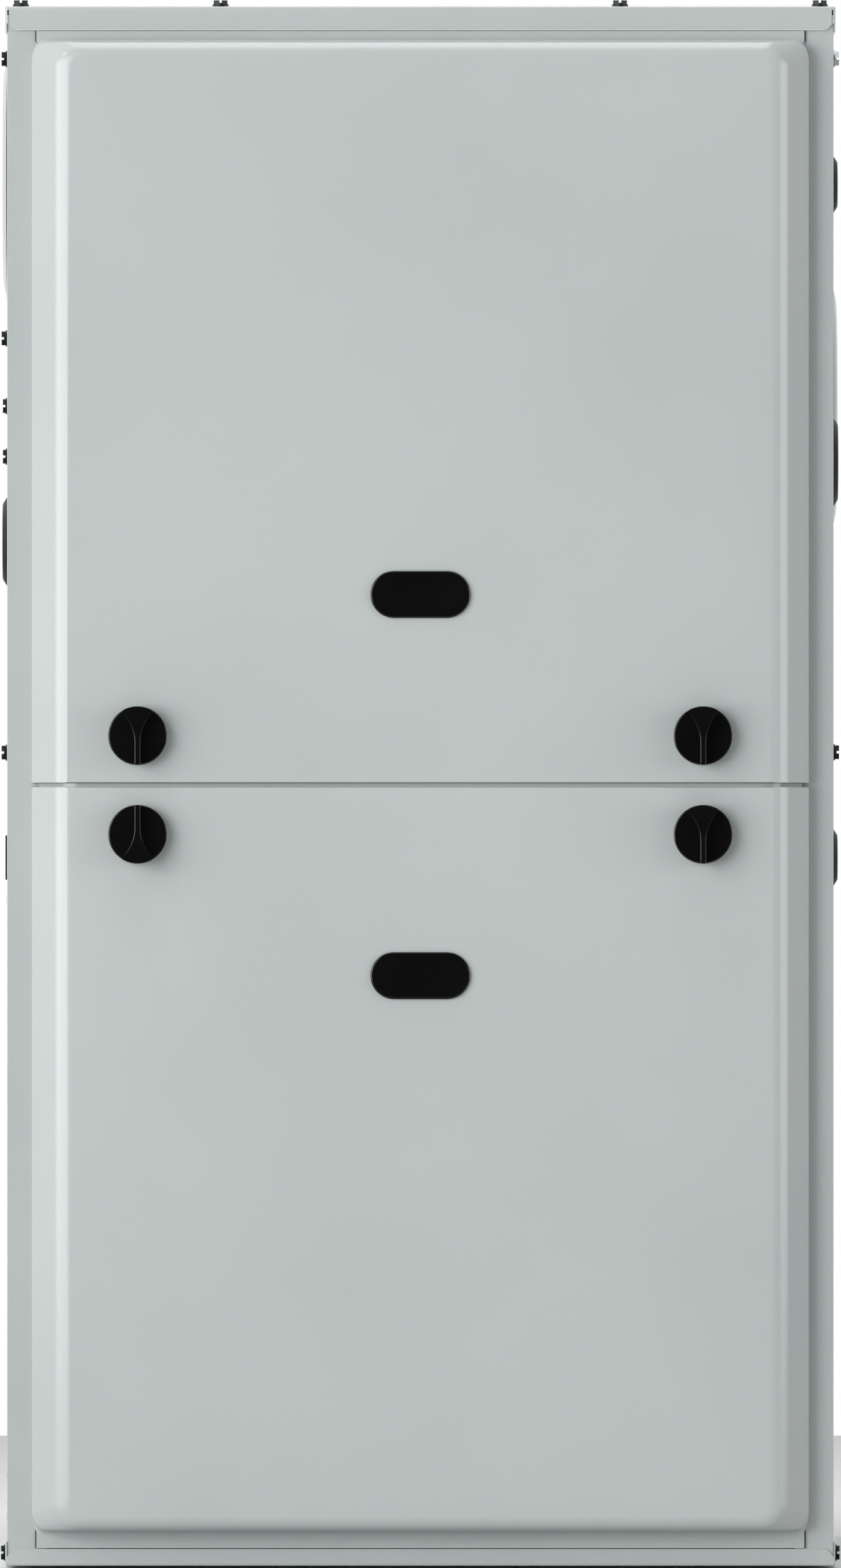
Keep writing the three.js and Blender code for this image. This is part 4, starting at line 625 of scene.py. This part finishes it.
def makeDoors():
    for which in ("upper", "lower"):
        shape = makeDoor(which)
        if which == "lower":
            (x0, x1), (y0, y1), (z0, z1) = switchTab
            shape = mergeParts([shape, boxOf(x0, x1, y0, y1, z0, z1), makeTongue()])
        addShape(which + "DoorSkin", shape, which + "_door", coat, [which + "_door_panel"], 38)


# Dark strips in the gap beside each door's end flange: painted shade, standing in for the dark of that gap.
def makeDoorGapShade():
    half, back = door["endHalfWidth"], door["backY"]
    for which, spot in doorSets.items():
        low, high = sorted((spot["end"], spot["flangeEnd"]))
        parts = [boxOf(*sorted((side * (half + door["shadeStripGap"]), side * (half + door["shadeStripWidth"]))),
                       back - door["shadeStripDeep"], back, low, high) for side in (-1, 1)]
        addShape(which + "DoorGapShade", mergeParts(parts), which + "_door", darkPlastic)


def makeWindows():
    faceY = door["backY"] - door["depth"]
    wall, edge = window["wall"] * 2, window["edge"]
    wide, tall, foot = window["width"], window["height"], faceY - window["foot"]
    flat = edge * 2 + window["flatIn"]
    for which, spot in doorSets.items():
        middle = (0, spot["window"])
        rings = [stadiumRing(wide - wall, tall - wall, middle, faceY + window["bossReach"]),
                 stadiumRing(wide - wall, tall - wall, middle, foot), stadiumRing(wide, tall, middle, foot)]
        for a in arcAngles(0, 90, 6):
            shrink = edge * (1 - math.cos(a)) * 2
            depth = faceY - window["proud"] + edge * (1 - math.sin(a))
            rings.append(stadiumRing(wide - shrink, tall - shrink, middle, depth))
        rings.append(stadiumRing(wide - flat, tall - flat, middle, faceY - window["proud"]))
        addShape(which + "Window", loftRings(rings), which + "_door", glossBlack,
                 [which + "_sight_window"], 40)


# Knobs.

knob = {
    "radius": 15.75, "height": 17.0, "baseHeight": 8.0, "stemWidth": 3.06, "flareWidth": 17.0,
    "flareHeight": 13.0, "stemTop": -4.0, "studRadius": 4.0, "rimEdge": 0.7, "gripEdge": 0.45,
    "backGap": 0.3, "studEndY": -344.5, "footEdge": 0.3, "capIn": 0.4, "gripSunk": 0.6, "topIn": 0.25,
    "flarePower": 2.15,
}
knobSpots = {
    "upper_left_knob": (-151.7, 447.15, 1), "upper_right_knob": (151.7, 447.15, 1),
    "lower_left_knob": (-151.7, 394.25, -1), "lower_right_knob": (151.7, 394.25, 1),
}


def gripOutline(inset=0.0):
    radius = knob["radius"] - inset
    stem = knob["stemWidth"] / 2 - inset
    flare = knob["flareWidth"] / 2 - inset
    bottom, top, stemSteps, flareSteps = -math.sqrt(radius ** 2 - stem ** 2), knob["stemTop"], 6, 14
    right = [(stem, bottom + (top - bottom) * i / stemSteps) for i in range(stemSteps + 1)]
    for i in range(1, flareSteps + 1):
        rise = i / flareSteps
        right.append((stem + (flare - stem) * rise ** knob["flarePower"],
                      top + (knob["flareHeight"] - inset - top) * rise))
    last = math.degrees(math.atan2(right[-1][1], right[-1][0]))
    right += [(radius * math.cos(a), radius * math.sin(a)) for a in arcAngles(last, 90, 10)[1:]]
    left = [(-x, z) for x, z in reversed(right[:-1])]
    bottomArc = [(stem * s, -math.sqrt(radius ** 2 - (stem * s) ** 2)) for s in (-0.5, 0, 0.5)]
    return [*right, *left, *bottomArc]


def roundedEdge(edge, steps=5):
    return [(edge * (1 - math.cos(a)), edge * (1 - math.sin(a))) for a in arcAngles(0, 90, steps)]


def makeKnobs():
    faceY = door["backY"] - door["depth"] - knob["backGap"]
    radius, rim, foot, grip = knob["radius"], knob["rimEdge"], knob["footEdge"], knob["gripEdge"]
    baseY, topY = faceY - knob["baseHeight"], faceY - knob["height"]
    profile = [(knob["studRadius"], knob["studEndY"]), (knob["studRadius"], faceY), (radius - foot, faceY),
               (radius, faceY - foot),
               *[(radius - inward, baseY + back) for inward, back in roundedEdge(rim)],
               (radius - rim - knob["capIn"], baseY)]
    levels = [(0, baseY + knob["gripSunk"]), *[(inward, topY + back) for inward, back in roundedEdge(grip)],
              (grip + knob["topIn"], topY)]
    for name, (x, z, up) in knobSpots.items():
        base = loftRings([circleRing(r, (x, z), y, 96) for r, y in profile])
        rings = [[(x + up * gx, y, z + up * gz) for gx, gz in gripOutline(inset)] for inset, y in levels]
        addShape(name + "Grip", mergeParts([base, loftRings(rings)]), name, glossBlack, [name], 35)


# Wall covers and plugs, turned about an axis across the casing.

ventCover = {"radius": 65.7, "chamfer": 8.0, "proud": 3.4, "barrel": 51.7, "reach": 3.9, "wall": 0.9,
             "edge": 1.2}
largePlug = {"radius": 24, "chamfer": 3.4, "proud": 2.9, "barrel": 18, "reach": 8.9, "wall": 2, "edge": 0.6}
smallPlug = {**largePlug, "radius": 15.7, "barrel": 11}
fittings = {
    "left_vent_cover": {"side": -1, "y": -230.5, "z": 748.2, **ventCover},
    "right_vent_cover": {"side": 1, "y": -202.5, "z": 625.8, **ventCover},
    "left_gas_plug": {"side": -1, "y": -310.5, "z": 551.8, **largePlug},
    "right_gas_plug": {"side": 1, "y": -310.5, "z": 594.6, **largePlug},
    "right_conduit_plug": {"side": 1, "y": -294.5, "z": 744.4, **smallPlug},
    "right_wiring_plug": {"side": 1, "y": -294.5, "z": 381.6, **smallPlug},
}
fittingRim = {"topEase": 0.03, "edgeDrop": 0.2, "sideIn": 0.4, "sideUp": 0.45, "footUp": 0.15, "boreTop": 1.0}

gasket = {"thick": 0.9, "low": 0.3, "back": 0.6, "barrelGap": 0.1}


def turnedOnWall(spot, profile, steps=96, closed=True):
    side = spot["side"]
    wall = side * casing["halfWidth"]
    rings = [[(wall + side * out, spot["y"] + radius * math.cos(a), spot["z"] + radius * math.sin(a))
              for a in arcAngles(0, 360 - 360 / steps, steps - 1)] for radius, out in profile]
    return loftRings(rings, closed, closed)


dimples = {"y": -337.0, "heights": (359.0, 50.2, 27.6), "radius": 3.0, "proud": 0.5, "sunk": 0.4}


def makeDimples():
    radius, proud = dimples["radius"], dimples["proud"]
    profile = [(radius, -dimples["sunk"]),
               *[(radius * math.cos(a), proud * math.sin(a)) for a in arcAngles(0, 80, 5)]]
    parts = [turnedOnWall({"side": -1, "y": dimples["y"], "z": z}, profile, 24) for z in dimples["heights"]]
    addShape("wallDimples", mergeParts(parts), "cabinet", coat, angle=40)


def makeFittings():
    rim = fittingRim
    for name, spot in fittings.items():
        vent = "vent" in name
        radius, proud, edge = spot["radius"], spot["proud"], spot["edge"]
        flat = radius - spot["chamfer"]
        barrel, bore, inside = spot["barrel"], spot["barrel"] - spot["wall"], -spot["reach"]
        low, high = gasket["low"], gasket["low"] + gasket["thick"]
        foot = high if vent else low
        profile = [(flat - edge * 2, proud), (flat - edge, proud - rim["topEase"]),
                   (flat, proud - rim["edgeDrop"]),
                   (radius - rim["sideIn"], foot + rim["sideUp"]), (radius, foot + rim["footUp"]),
                   (radius, foot), (barrel, foot), (barrel, inside), (bore, inside), (bore, rim["boreTop"])]
        if vent:
            outer, inner = radius - gasket["back"], barrel + gasket["barrelGap"]
            ring = [(inner, low), (outer, low), (outer, high), (inner, high), (inner, low)]
            addShape(name + "Gasket", turnedOnWall(spot, ring, closed=False), "cabinet", darkPlastic)
        finish = coat if vent else darkPlastic
        addShape(name + "Turned", turnedOnWall(spot, profile), "cabinet", finish, [name], 30)


# Geometry Nodes: each tree is built here, run on a mesh of points and turned into a plain mesh.

def newTree(name, floats=(), vectors=(), wholes=()):
    tree = bpy.data.node_groups.new(name, "GeometryNodeTree")
    tree.interface.new_socket("Geometry", in_out="INPUT", socket_type="NodeSocketGeometry")
    tree.interface.new_socket("Geometry", in_out="OUTPUT", socket_type="NodeSocketGeometry")
    for labels, kind in ((floats, "Float"), (vectors, "Vector"), (wholes, "Int"), (("Finish",), "Material")):
        for label in labels:
            tree.interface.new_socket(label, in_out="INPUT", socket_type="NodeSocket" + kind)
    return tree, addNode(tree, "NodeGroupInput").outputs


def endTree(tree, shape, finish):
    real = addNode(tree, "GeometryNodeRealizeInstances", None, {"Geometry": shape})
    painted = addNode(tree, "GeometryNodeSetMaterial", None,
                      {"Geometry": real.outputs[0], "Material": finish})
    addNode(tree, "NodeGroupOutput", None, {"Geometry": painted.outputs[0]})
    return tree


def placeOnPoints(tree, points, instance, links=None):
    spots = addNode(tree, "GeometryNodeMeshToPoints", None, {"Mesh": points})
    return addNode(tree, "GeometryNodeInstanceOnPoints", None,
                   {"Points": spots.outputs[0], "Instance": instance, **(links or {})}).outputs[0]


def runTree(name, tree, points, values, material, nodes=(), angle=30, edges=()):
    seed = bpy.data.meshes.new(name + "Points")
    seed.from_pydata([Vector(p) * mm for p in points], list(edges), [])
    holder = linked(name, seed)
    modifier = holder.modifiers.new("build", "NODES")
    modifier.node_group = tree
    for item in tree.interface.items_tree:
        if item.in_out == "INPUT" and item.name in values:
            modifier[item.identifier] = values[item.name]
    mesh = bakedMesh(holder)
    addPiece(name, smoothed(mesh, name, angle), "cabinet", material, nodes)


# Slotted hexagon screws with a washer flange.
screw = {"Hexagon Radius": 7.4 / math.sqrt(3), "Flange Radius": 4.4, "Flange Height": 0.9,
         "Shank Radius": 1.9, "Shank Length": 9.0, "Slot Width": 1.3, "Slot Depth": 1.3}
screwSides = {"head": 6, "flange": 32, "shank": 16}
screwTurns = {"up": (0, 0, 90), "left": (-90, 0, 90), "right": (90, 0, 90)}
screwSets = {  # name: where, which way up, head height
    "topScrews": ([(x, -345.5, 839.3) for x in (-214.8, -107.4, 107.4, 214.8)], "up", 3.1),
    "leftScrews": ([(-222.1, -340.5, z) for z in (811.0, 660.8, 438.1)], "left", 3.1),
    "leftFlatScrews": ([(-222.1, -340.5, 624.4), (-222.1, -340.5, 597.2), (-223.1, -340.5, 8.0)],
                       "left", 2.4),
    "rightScrew": ([(222.1, -340.5, 438.3)], "right", 3.1),
    "rightZincScrew": ([(222.1, -340.5, 811.2)], "right", 3.1),
    "rightFlatScrew": ([(223.1, -340.5, 8.0)], "right", 2.4),
}


def screwTree():
    tree, given = newTree("washerHeadScrews", (
        "Hexagon Radius", "Flange Radius", "Flange Height", "Head Height", "Shank Radius", "Shank Length",
        "Slot Width", "Slot Depth"), ("Turn",))

    def times(socket, factor):
        return addNode(tree, "ShaderNodeMath", {"operation": "MULTIPLY", 1: factor}, {0: socket}).outputs[0]

    def lifted(mesh, height):
        lift = addNode(tree, "ShaderNodeCombineXYZ", None, {"Z": height})
        return addNode(tree, "GeometryNodeTransform", None,
                       {"Geometry": mesh, "Translation": lift.outputs[0]}).outputs[0]

    def rod(radius, height, sides, low=None):
        body = addNode(tree, "GeometryNodeMeshCylinder", {"Vertices": sides},
                       {"Radius": radius, "Depth": height})
        half = addNode(tree, "ShaderNodeMath", {"operation": "MULTIPLY_ADD", 1: 0.5, 2: 0.0},
                       {0: height, **({2: low} if low else {})})
        return lifted(body.outputs["Mesh"], half.outputs[0])

    hexagon = rod(given["Hexagon Radius"], given["Head Height"], screwSides["head"])
    flange = rod(given["Flange Radius"], given["Flange Height"], screwSides["flange"])
    shank = rod(given["Shank Radius"], given["Shank Length"], screwSides["shank"],
                times(given["Shank Length"], -1.0))
    slotSize = addNode(tree, "ShaderNodeCombineXYZ", None, {
        "X": times(given["Hexagon Radius"], 4.0), "Y": given["Slot Width"],
        "Z": times(given["Slot Depth"], 2.0)})
    cutter = addNode(tree, "GeometryNodeMeshCube", None, {"Size": slotSize.outputs[0]})
    slotted = addNode(tree, "GeometryNodeMeshBoolean", {"operation": "DIFFERENCE"}, {
        "Mesh 1": hexagon, "Mesh 2": lifted(cutter.outputs["Mesh"], given["Head Height"])})
    whole = addNode(tree, "GeometryNodeJoinGeometry")
    for part in (slotted.outputs[0], flange, shank):
        tree.links.new(part, whole.inputs[0])
    turned = addNode(tree, "FunctionNodeEulerToRotation", None, {"Euler": given["Turn"]})
    placed = placeOnPoints(tree, given["Geometry"], whole.outputs[0], {"Rotation": turned.outputs[0]})
    return endTree(tree, placed, given["Finish"])


def makeScrews():
    tree = screwTree()
    for name, (spots, turn, headHeight) in screwSets.items():
        material = zincSteel if "Zinc" in name else blackSteel
        values = {label: size * mm for label, size in {**screw, "Head Height": headHeight}.items()}
        values |= {"Turn": [math.radians(a) for a in screwTurns[turn]], "Finish": material}
        nodes = [f"top_screw_{i}" for i in (1, 2, 3, 4)] if name == "topScrews" else ()
        runTree(name, tree, spots, values, material, nodes)


# Thin fins that fill the slots of the secondary coil, one row on each given point.
fins = {"thick": 0.35, "deep": 18.3, "tall": 56.0, "pitch": 4.2, "count": 83, "firstX": -172.2,
        "firstY": -114.2, "slotPitch": 34.355, "slots": 11, "middleZ": 476.0}


def finTree():
    tree, given = newTree("finRows", ("Pitch",), ("Fin Size",), ("Fin Count",))
    step = addNode(tree, "ShaderNodeCombineXYZ", None, {"X": given["Pitch"]})
    line = addNode(tree, "GeometryNodeMeshLine", {"mode": "OFFSET"},
                   {"Count": given["Fin Count"], "Offset": step.outputs[0]})
    fin = addNode(tree, "GeometryNodeMeshCube", None, {"Size": given["Fin Size"]})
    row = addNode(tree, "GeometryNodeInstanceOnPoints", None,
                  {"Points": line.outputs["Mesh"], "Instance": fin.outputs["Mesh"]})
    return endTree(tree, placeOnPoints(tree, given["Geometry"], row.outputs[0]), given["Finish"])


def makeFins():
    spots = [(fins["firstX"], fins["firstY"] + fins["slotPitch"] * i, fins["middleZ"])
             for i in range(fins["slots"])]
    values = {"Pitch": fins["pitch"] * mm, "Fin Count": fins["count"], "Finish": finMetal,
              "Fin Size": [fins[key] * mm for key in ("thick", "deep", "tall")]}
    runTree("coilFins", finTree(), spots, values, finMetal)


# Small parts soldered on the face of the control board, in rows, each with its own size.
boardParts = {"face": 209.4, "firstY": -316.0, "firstZ": 265.0, "stepY": 9.5, "stepZ": 10.5,
              "along": 9, "up": 4, "smallest": (2.0, 2.2, 2.6), "largest": (7.0, 6.5, 6.0),
              "seed": 7, "sunk": 0.6}


def partTree():
    tree, given = newTree("boardParts", (), ("Smallest", "Largest"), ("Seed",))
    cube = addNode(tree, "GeometryNodeMeshCube")
    size = addNode(tree, "FunctionNodeRandomValue", {"data_type": "FLOAT_VECTOR"},
                   {"Min": given["Smallest"], "Max": given["Largest"], "Seed": given["Seed"]})
    parts = placeOnPoints(tree, given["Geometry"], cube.outputs["Mesh"], {"Scale": size.outputs[0]})
    return endTree(tree, parts, given["Finish"])


def makeBoardParts():
    tree, spec = partTree(), boardParts
    for name, material, turn in (("boardChips", darkPlastic, 0), ("boardCapacitors", castMetal, 1)):
        spots = [(spec["face"] - spec["sunk"], spec["firstY"] + spec["stepY"] * i,
                  spec["firstZ"] + spec["stepZ"] * k)
                 for i in range(spec["along"]) for k in range(spec["up"]) if (i + k * 2) % 3 == turn]
        values = {"Smallest": [a * mm for a in spec["smallest"]],
                  "Largest": [a * mm for a in spec["largest"]],
                  "Seed": spec["seed"] + turn, "Finish": material}
        runTree(name, tree, spots, values, material)


# Wires from the board, up beside the centre rail, to the parts round the burners.
wires = {"grommet": (212.3, -337.0, 421.2), "bendSteps": 6,
         "grommetProfile": ((-0.4, 8.2), (1.2, 8.2), (1.9, 7.5), (1.9, 6.4), (1.5, 6.0)),
         "radius": 1.3, "bend": 14.0, "sides": 10,
         "runs": {
             "redWire": ([(205.0, -306.0, 250.0), (196.0, -320.0, 262.0), (209.0, -337.0, 300.0),
                          (209.0, -337.0, 612.0), (176.0, -262.0, 616.0), (-150.0, -262.0, 616.0),
                          (-176.0, -262.0, 672.0), (-176.0, -277.0, 676.0)], redPlastic),
             "blackWire": ([(205.0, -300.0, 250.0), (193.0, -316.0, 266.0), (212.5, -337.0, 306.0),
                            (212.5, -337.0, 615.5), (178.0, -258.0, 619.5), (-148.0, -258.0, 619.5),
                            (-170.0, -258.0, 682.0), (-170.0, -277.0, 688.0)], darkPlastic),
             "greyWire": ([(205.0, -294.0, 250.0), (190.0, -312.0, 270.0), (216.0, -337.0, 312.0),
                           (216.0, -337.0, 619.0), (180.0, -254.0, 623.0), (-60.0, -254.0, 623.0),
                           (-60.0, -254.0, 651.0)], ventPlastic),
         }}


def wireTree():
    tree, given = newTree("roundWire", ("Radius", "Bend"), (), ("Sides",))
    path = addNode(tree, "GeometryNodeMeshToCurve", None, {"Mesh": given["Geometry"]})
    eased = addNode(tree, "GeometryNodeFilletCurve",
                    {"mode": "POLY", "Count": wires["bendSteps"], "Limit Radius": True},
                    {"Curve": path.outputs[0], "Radius": given["Bend"]})
    ring = addNode(tree, "GeometryNodeCurvePrimitiveCircle", None,
                   {"Resolution": given["Sides"], "Radius": given["Radius"]})
    tube = addNode(tree, "GeometryNodeCurveToMesh", {"Fill Caps": True},
                   {"Curve": eased.outputs[0], "Profile Curve": ring.outputs[0]})
    return endTree(tree, tube.outputs[0], given["Finish"])


def makeWires():
    tree = wireTree()
    for name, (path, material) in wires["runs"].items():
        values = {"Radius": wires["radius"] * mm, "Bend": wires["bend"] * mm, "Sides": wires["sides"],
                  "Finish": material}
        runTree(name, tree, path, values, material, (), 50, [(i, i + 1) for i in range(len(path) - 1)])
    x, y, z = wires["grommet"]
    rings = [[(across, back, up) for across, up, back in circleRing(radius, (x, y), z + lift)]
             for lift, radius in wires["grommetProfile"]]
    addShape("wireGrommet", loftRings(rings), "cabinet", darkPlastic)


# The other solids, with their edges broken and their finish on.

dressing = {
    "cabinet_wrapper": (coat, 0.35),
    "bottom_closure_panel": (galvanised, 0.2), "centre_rail": (galvanised, 0.3),
    "blower_deck": (galvanised, 0.3), "vestibule_panel": (galvanised, 0.3),
    "left_drain_grommet": (darkPlastic, 0.4), "upper_door_liner": (liner, 1.5),
    "burner_box": (galvanised, 0.3), "burner_left": (aluminised, 0.3), "burner_middle": (aluminised, 0.3),
    "burner_right": (aluminised, 0.3), "gas_manifold": (blackSteel, 0.4), "gas_valve": (castMetal, 1.0),
    "gas_valve_switch": (redPlastic, 0.5), "igniter": (ceramic, 0.4), "flame_sensor": (ceramic, 0.3),
    "rollout_switch": (darkPlastic, 0.4), "rollout_reset_button": (redPlastic, 0.4),
    "exchanger_tube_left": (aluminised, 0.3), "exchanger_tube_middle": (aluminised, 0.3),
    "exchanger_tube_right": (aluminised, 0.3), "coupling_box": (stainless, 0.5),
    "secondary_coil": (finMetal, 0.4), "collector_box": (darkPlastic, 0.8),
    "inducer_housing": (darkPlastic, 0.8), "inducer_motor": (blackSteel, 0.8),
    "inducer_wheel": (darkPlastic, 0.3), "vent_pipe": (ventPlastic, 0.5),
    "pressure_switch": (darkPlastic, 0.6), "pressure_tube": (clearVinyl, 0.2),
    "condensate_trap": (ventPlastic, 0.8), "drain_hose": (clearVinyl, 0.3),
    "blower_housing": (galvanised, 0.3), "blower_wheel": (galvanised, 0.25),
    "blower_motor": (blackSteel, 1.0),
    "motor_mount": (galvanised, 0.4), "control_board": (board, 0.2), "transformer": (blackSteel, 0.6),
    "door_switch": (darkPlastic, 0.5), "door_switch_plunger": (redPlastic, 0.3),
}


def mergedForm(source):
    form = bmesh.new()
    form.from_mesh(source)
    bmesh.ops.remove_doubles(form, verts=form.verts, dist=2e-6)
    bmesh.ops.dissolve_limit(form, angle_limit=math.radians(0.5), verts=form.verts, edges=form.edges)
    return form


def weighNormals(mesh):
    holder = linked(mesh.name + "Holder", mesh)
    modifier = holder.modifiers.new("weigh", "WEIGHTED_NORMAL")
    modifier.mode = "FACE_AREA"
    modifier.keep_sharp = True
    return bakedMesh(holder)


def dressNode(node, material, edge):
    source = frame["nodes"][node]
    form = mergedForm(source.data)
    sharp = [e for e in form.edges if len(e.link_faces) == 2 and e.calc_face_angle() > math.radians(30)]
    bmesh.ops.bevel(form, geom=sharp, offset=edge * mm, offset_type="OFFSET", segments=2, profile=0.5,
                    affect="EDGES", clamp_overlap=True)
    name = node + "Dressed"
    mesh = bpy.data.meshes.new(name)
    form.to_mesh(mesh)
    form.free()
    even = weighNormals(smoothed(mesh, name, 35))
    even.name = name
    addPiece(name, even, source["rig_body"], material, [node])


# Top cap and base pan: a flat sheet with bands folded down or up all round it.
tray = {"leastCorner": 0.25, "holeCorner": 0.3, "hemCorner": 0.5, "sheet": 0.8, "fold": 1.1, "cornerSteps": 6,
        "halfX": 223.1, "halfY": 353.5, "bandChamfer": 4.0, "cutMargin": 1}
trays = {  # level of the flat sheet, which way the bands point, side and front band, cuts in the front band
    "top_cap": {"level": 839.0, "way": -1, "sideBand": 13.8, "frontBand": 12.9,
                "opening": (-197.2, 197.2, -131.2, 337.2), "openingHem": 12.0,
                "round": [(175.0, -205.3, 31.65),
                          *((x, -345.5, 2.2) for x in (-214.8, -107.4, 107.4, 214.8))],
                "cuts": [((221.2, 222.0), (834.2, 837.1), 0.9), ((221.2, 221.5), (826.0, 834.2), 0.5)]},
    "base_pan": {"level": 1.1, "way": 1, "sideBand": 13.1, "frontBand": 9.2,
                 "opening": (-170.0, 170.0, -250.0, 250.0), "openingHem": 0.0, "round": [],
                 "cuts": [((221.4, 221.8), (6.5, 11.0), 0.6)]},
}
hem = {"foot": 826.1, "tall": 0.95, "proud": 0.75, "inset": 5.5, "back": 0.3, "ease": 0.1, "flat": 0.13}
# Dark boxes in the back of the two slots at the cap's front corners: painted shade for the slots' depth.
slotShadeFill = {"back": 0.4}  # the dark bottom of the two slots at the cap's front corners


def rectRing(x0, x1, y0, y1, radius, z):
    ring = []
    for cx, cy, start in ((x1 - radius, y1 - radius, 0), (x0 + radius, y1 - radius, 90),
                          (x0 + radius, y0 + radius, 180), (x1 - radius, y0 + radius, 270)):
        ring += [(cx + radius * math.cos(a), cy + radius * math.sin(a), z)
                 for a in arcAngles(start, start + 90, tray["cornerSteps"])]
    return ring


def trayRing(inset, z):
    halfX, halfY = tray["halfX"] - inset, tray["halfY"] - inset
    return rectRing(-halfX, halfX, -halfY, halfY, max(tray["fold"] - inset, tray["leastCorner"]), z)


def trayParts(spec):
    level, way, sheet, fold = spec["level"], spec["way"], tray["sheet"], tray["fold"]
    foot, under = level + way * spec["sideBand"], level + way * sheet
    outer = [trayRing(0, foot)] + [trayRing(fold * (1 - math.cos(a)), level + way * fold * (1 - math.sin(a)))
                                   for a in arcAngles(0, 90, 6)]
    inner = [trayRing(sheet, under), trayRing(sheet, foot)]
    x0, x1, y0, y1 = spec["opening"]
    corner, wide = tray["holeCorner"], 0
    hole = [rectRing(x0, x1, y0, y1, corner, level)]
    if spec["openingHem"]:
        low = level + way * spec["openingHem"]
        hole.append(rectRing(x0, x1, y0, y1, corner, low))
        corner, wide = tray["hemCorner"], sheet
        hole.append(rectRing(x0 - wide, x1 + wide, y0 - wide, y1 + wide, corner, low))
    hole.append(rectRing(x0 - wide, x1 + wide, y0 - wide, y1 + wide, corner, under))
    bores = [[[(x + r * math.cos(a), y + r * math.sin(a), z) for a in arcAngles(0, 350, 35)]
              for z in (level, under)] for x, y, r in spec["round"]]
    loops = [outer, inner, [outer[0], inner[-1]], hole, *bores]
    parts = [loftRings(loop, False, False) for loop in loops]
    parts.append(fillFlat(outer[-1], [hole[0]] + [bore[0] for bore in bores]))
    parts.append(fillFlat(inner[0], [hole[-1]] + [bore[1] for bore in bores]))
    return mergeParts(parts)


def trayCutters(spec):
    front, sheet, margin, way = -tray["halfY"], tray["sheet"], tray["cutMargin"], spec["way"]
    foot = spec["level"] + way * spec["frontBand"]
    beyond = spec["level"] + way * (spec["sideBand"] + margin)
    half, chamfer = tray["halfX"] - sheet, tray["bandChamfer"]
    outline = [(-half, beyond), (-half, foot - way * chamfer), (-half + chamfer, foot),
               (half - chamfer, foot), (half, foot - way * chamfer), (half, beyond)]
    parts = [loftRings([[(x, y, z) for x, z in outline] for y in (front - margin, front + sheet + 0.05)])]
    for xs, zs, deep in spec["cuts"]:
        parts += [boxOf(*sorted(side * x for x in xs), front - margin, front + deep, *zs) for side in (-1, 1)]
    return parts


def cutFrom(mesh, parts):
    holder = linked("cut", mesh)
    cutters = []
    for i, shape in enumerate(parts):
        cutters.append(linked(f"cutter{i}", meshFrom("cutter", shape)))
        modifier = holder.modifiers.new(f"slot{i}", "BOOLEAN")
        modifier.operation = "DIFFERENCE"
        modifier.solver = "EXACT"
        modifier.object = cutters[-1]
    result = bakedMesh(holder)
    for cutter in cutters:
        bpy.data.objects.remove(cutter)
    return result


def makeCapAndPan():
    for node, spec in trays.items():
        name = node + "Folded"
        mesh = cutFrom(meshFrom(node + "Solid", trayParts(spec), 35), trayCutters(spec))
        addPiece(name, smoothed(mesh, name, 35), "cabinet", coat, [node])
    # Painted shade: dark boxes fill the back of the two corner slots so that they show as deep, dark slots.
    (near, far), (low, high), deep = trays["top_cap"]["cuts"][0]
    front = -tray["halfY"]
    slotShadeBoxes = [boxOf(*sorted((side * near, side * far)), front + slotShadeFill["back"], front + deep, low, high)
             for side in (-1, 1)]
    addShape("capSlotShade", mergeParts(slotShadeBoxes), "cabinet", darkPlastic)
    half, back, proud, ease = tray["halfX"] - hem["inset"], hem["back"], hem["proud"], hem["ease"]
    profile = [(back, 0.0), (-proud + ease, 0.0), (-proud, ease), (-proud, hem["flat"]), (0.0, hem["tall"]),
               (back, hem["tall"])]
    rings = [[(x, front + out, hem["foot"] + up) for out, up in profile] for x in (-half, half)]
    addShape("capHem", loftRings(rings), "cabinet", coat, angle=50)


def makeFloor():
    reach, steps = studio["floorRadius"], studio["floorSteps"]
    rings = [[(reach * math.cos(a), reach * math.sin(a), z)
              for a in arcAngles(0, 360 - 360 / steps, steps - 1)]
             for z in (studio["floorFoot"], studio["floorTop"])]
    mesh = meshFrom("floor", loftRings(rings))
    material, tree, surface, place = newFinish("paleFloor")
    tone = tintBy(tree, surface, noiseOf(tree, place, 400, 2).outputs["Fac"], "C6C7C7", "CBCCCC")
    seen = addNode(tree, "ShaderNodeMix", {"data_type": "RGBA", "B": toLinear("FDFDFD")}, {
        "Factor": addNode(tree, "ShaderNodeLightPath").outputs["Is Camera Ray"], "A": tone.outputs[0]})
    tree.links.new(seen.outputs["Result"], surface.inputs["Base Color"])
    surface.inputs["Roughness"].default_value = 0.8
    mesh.materials.append(material)
    linked("floor", mesh)


makeCamera()
makeStudio()
makeFloor()
print("camera, floor and light made")
makeDoors()
makeDoorGapShade()
makeWindows()
makeKnobs()
print("doors, windows and knobs made")
makeFittings()
makeDimples()
makeScrews()
print("covers, plugs and screws made")
makeFins()
makeBoardParts()
makeWires()
print("fins, board parts and wires made")
makeCapAndPan()
for node, (material, edge) in dressing.items():
    dressNode(node, material, edge)
print("solids dressed:", len(dressing))
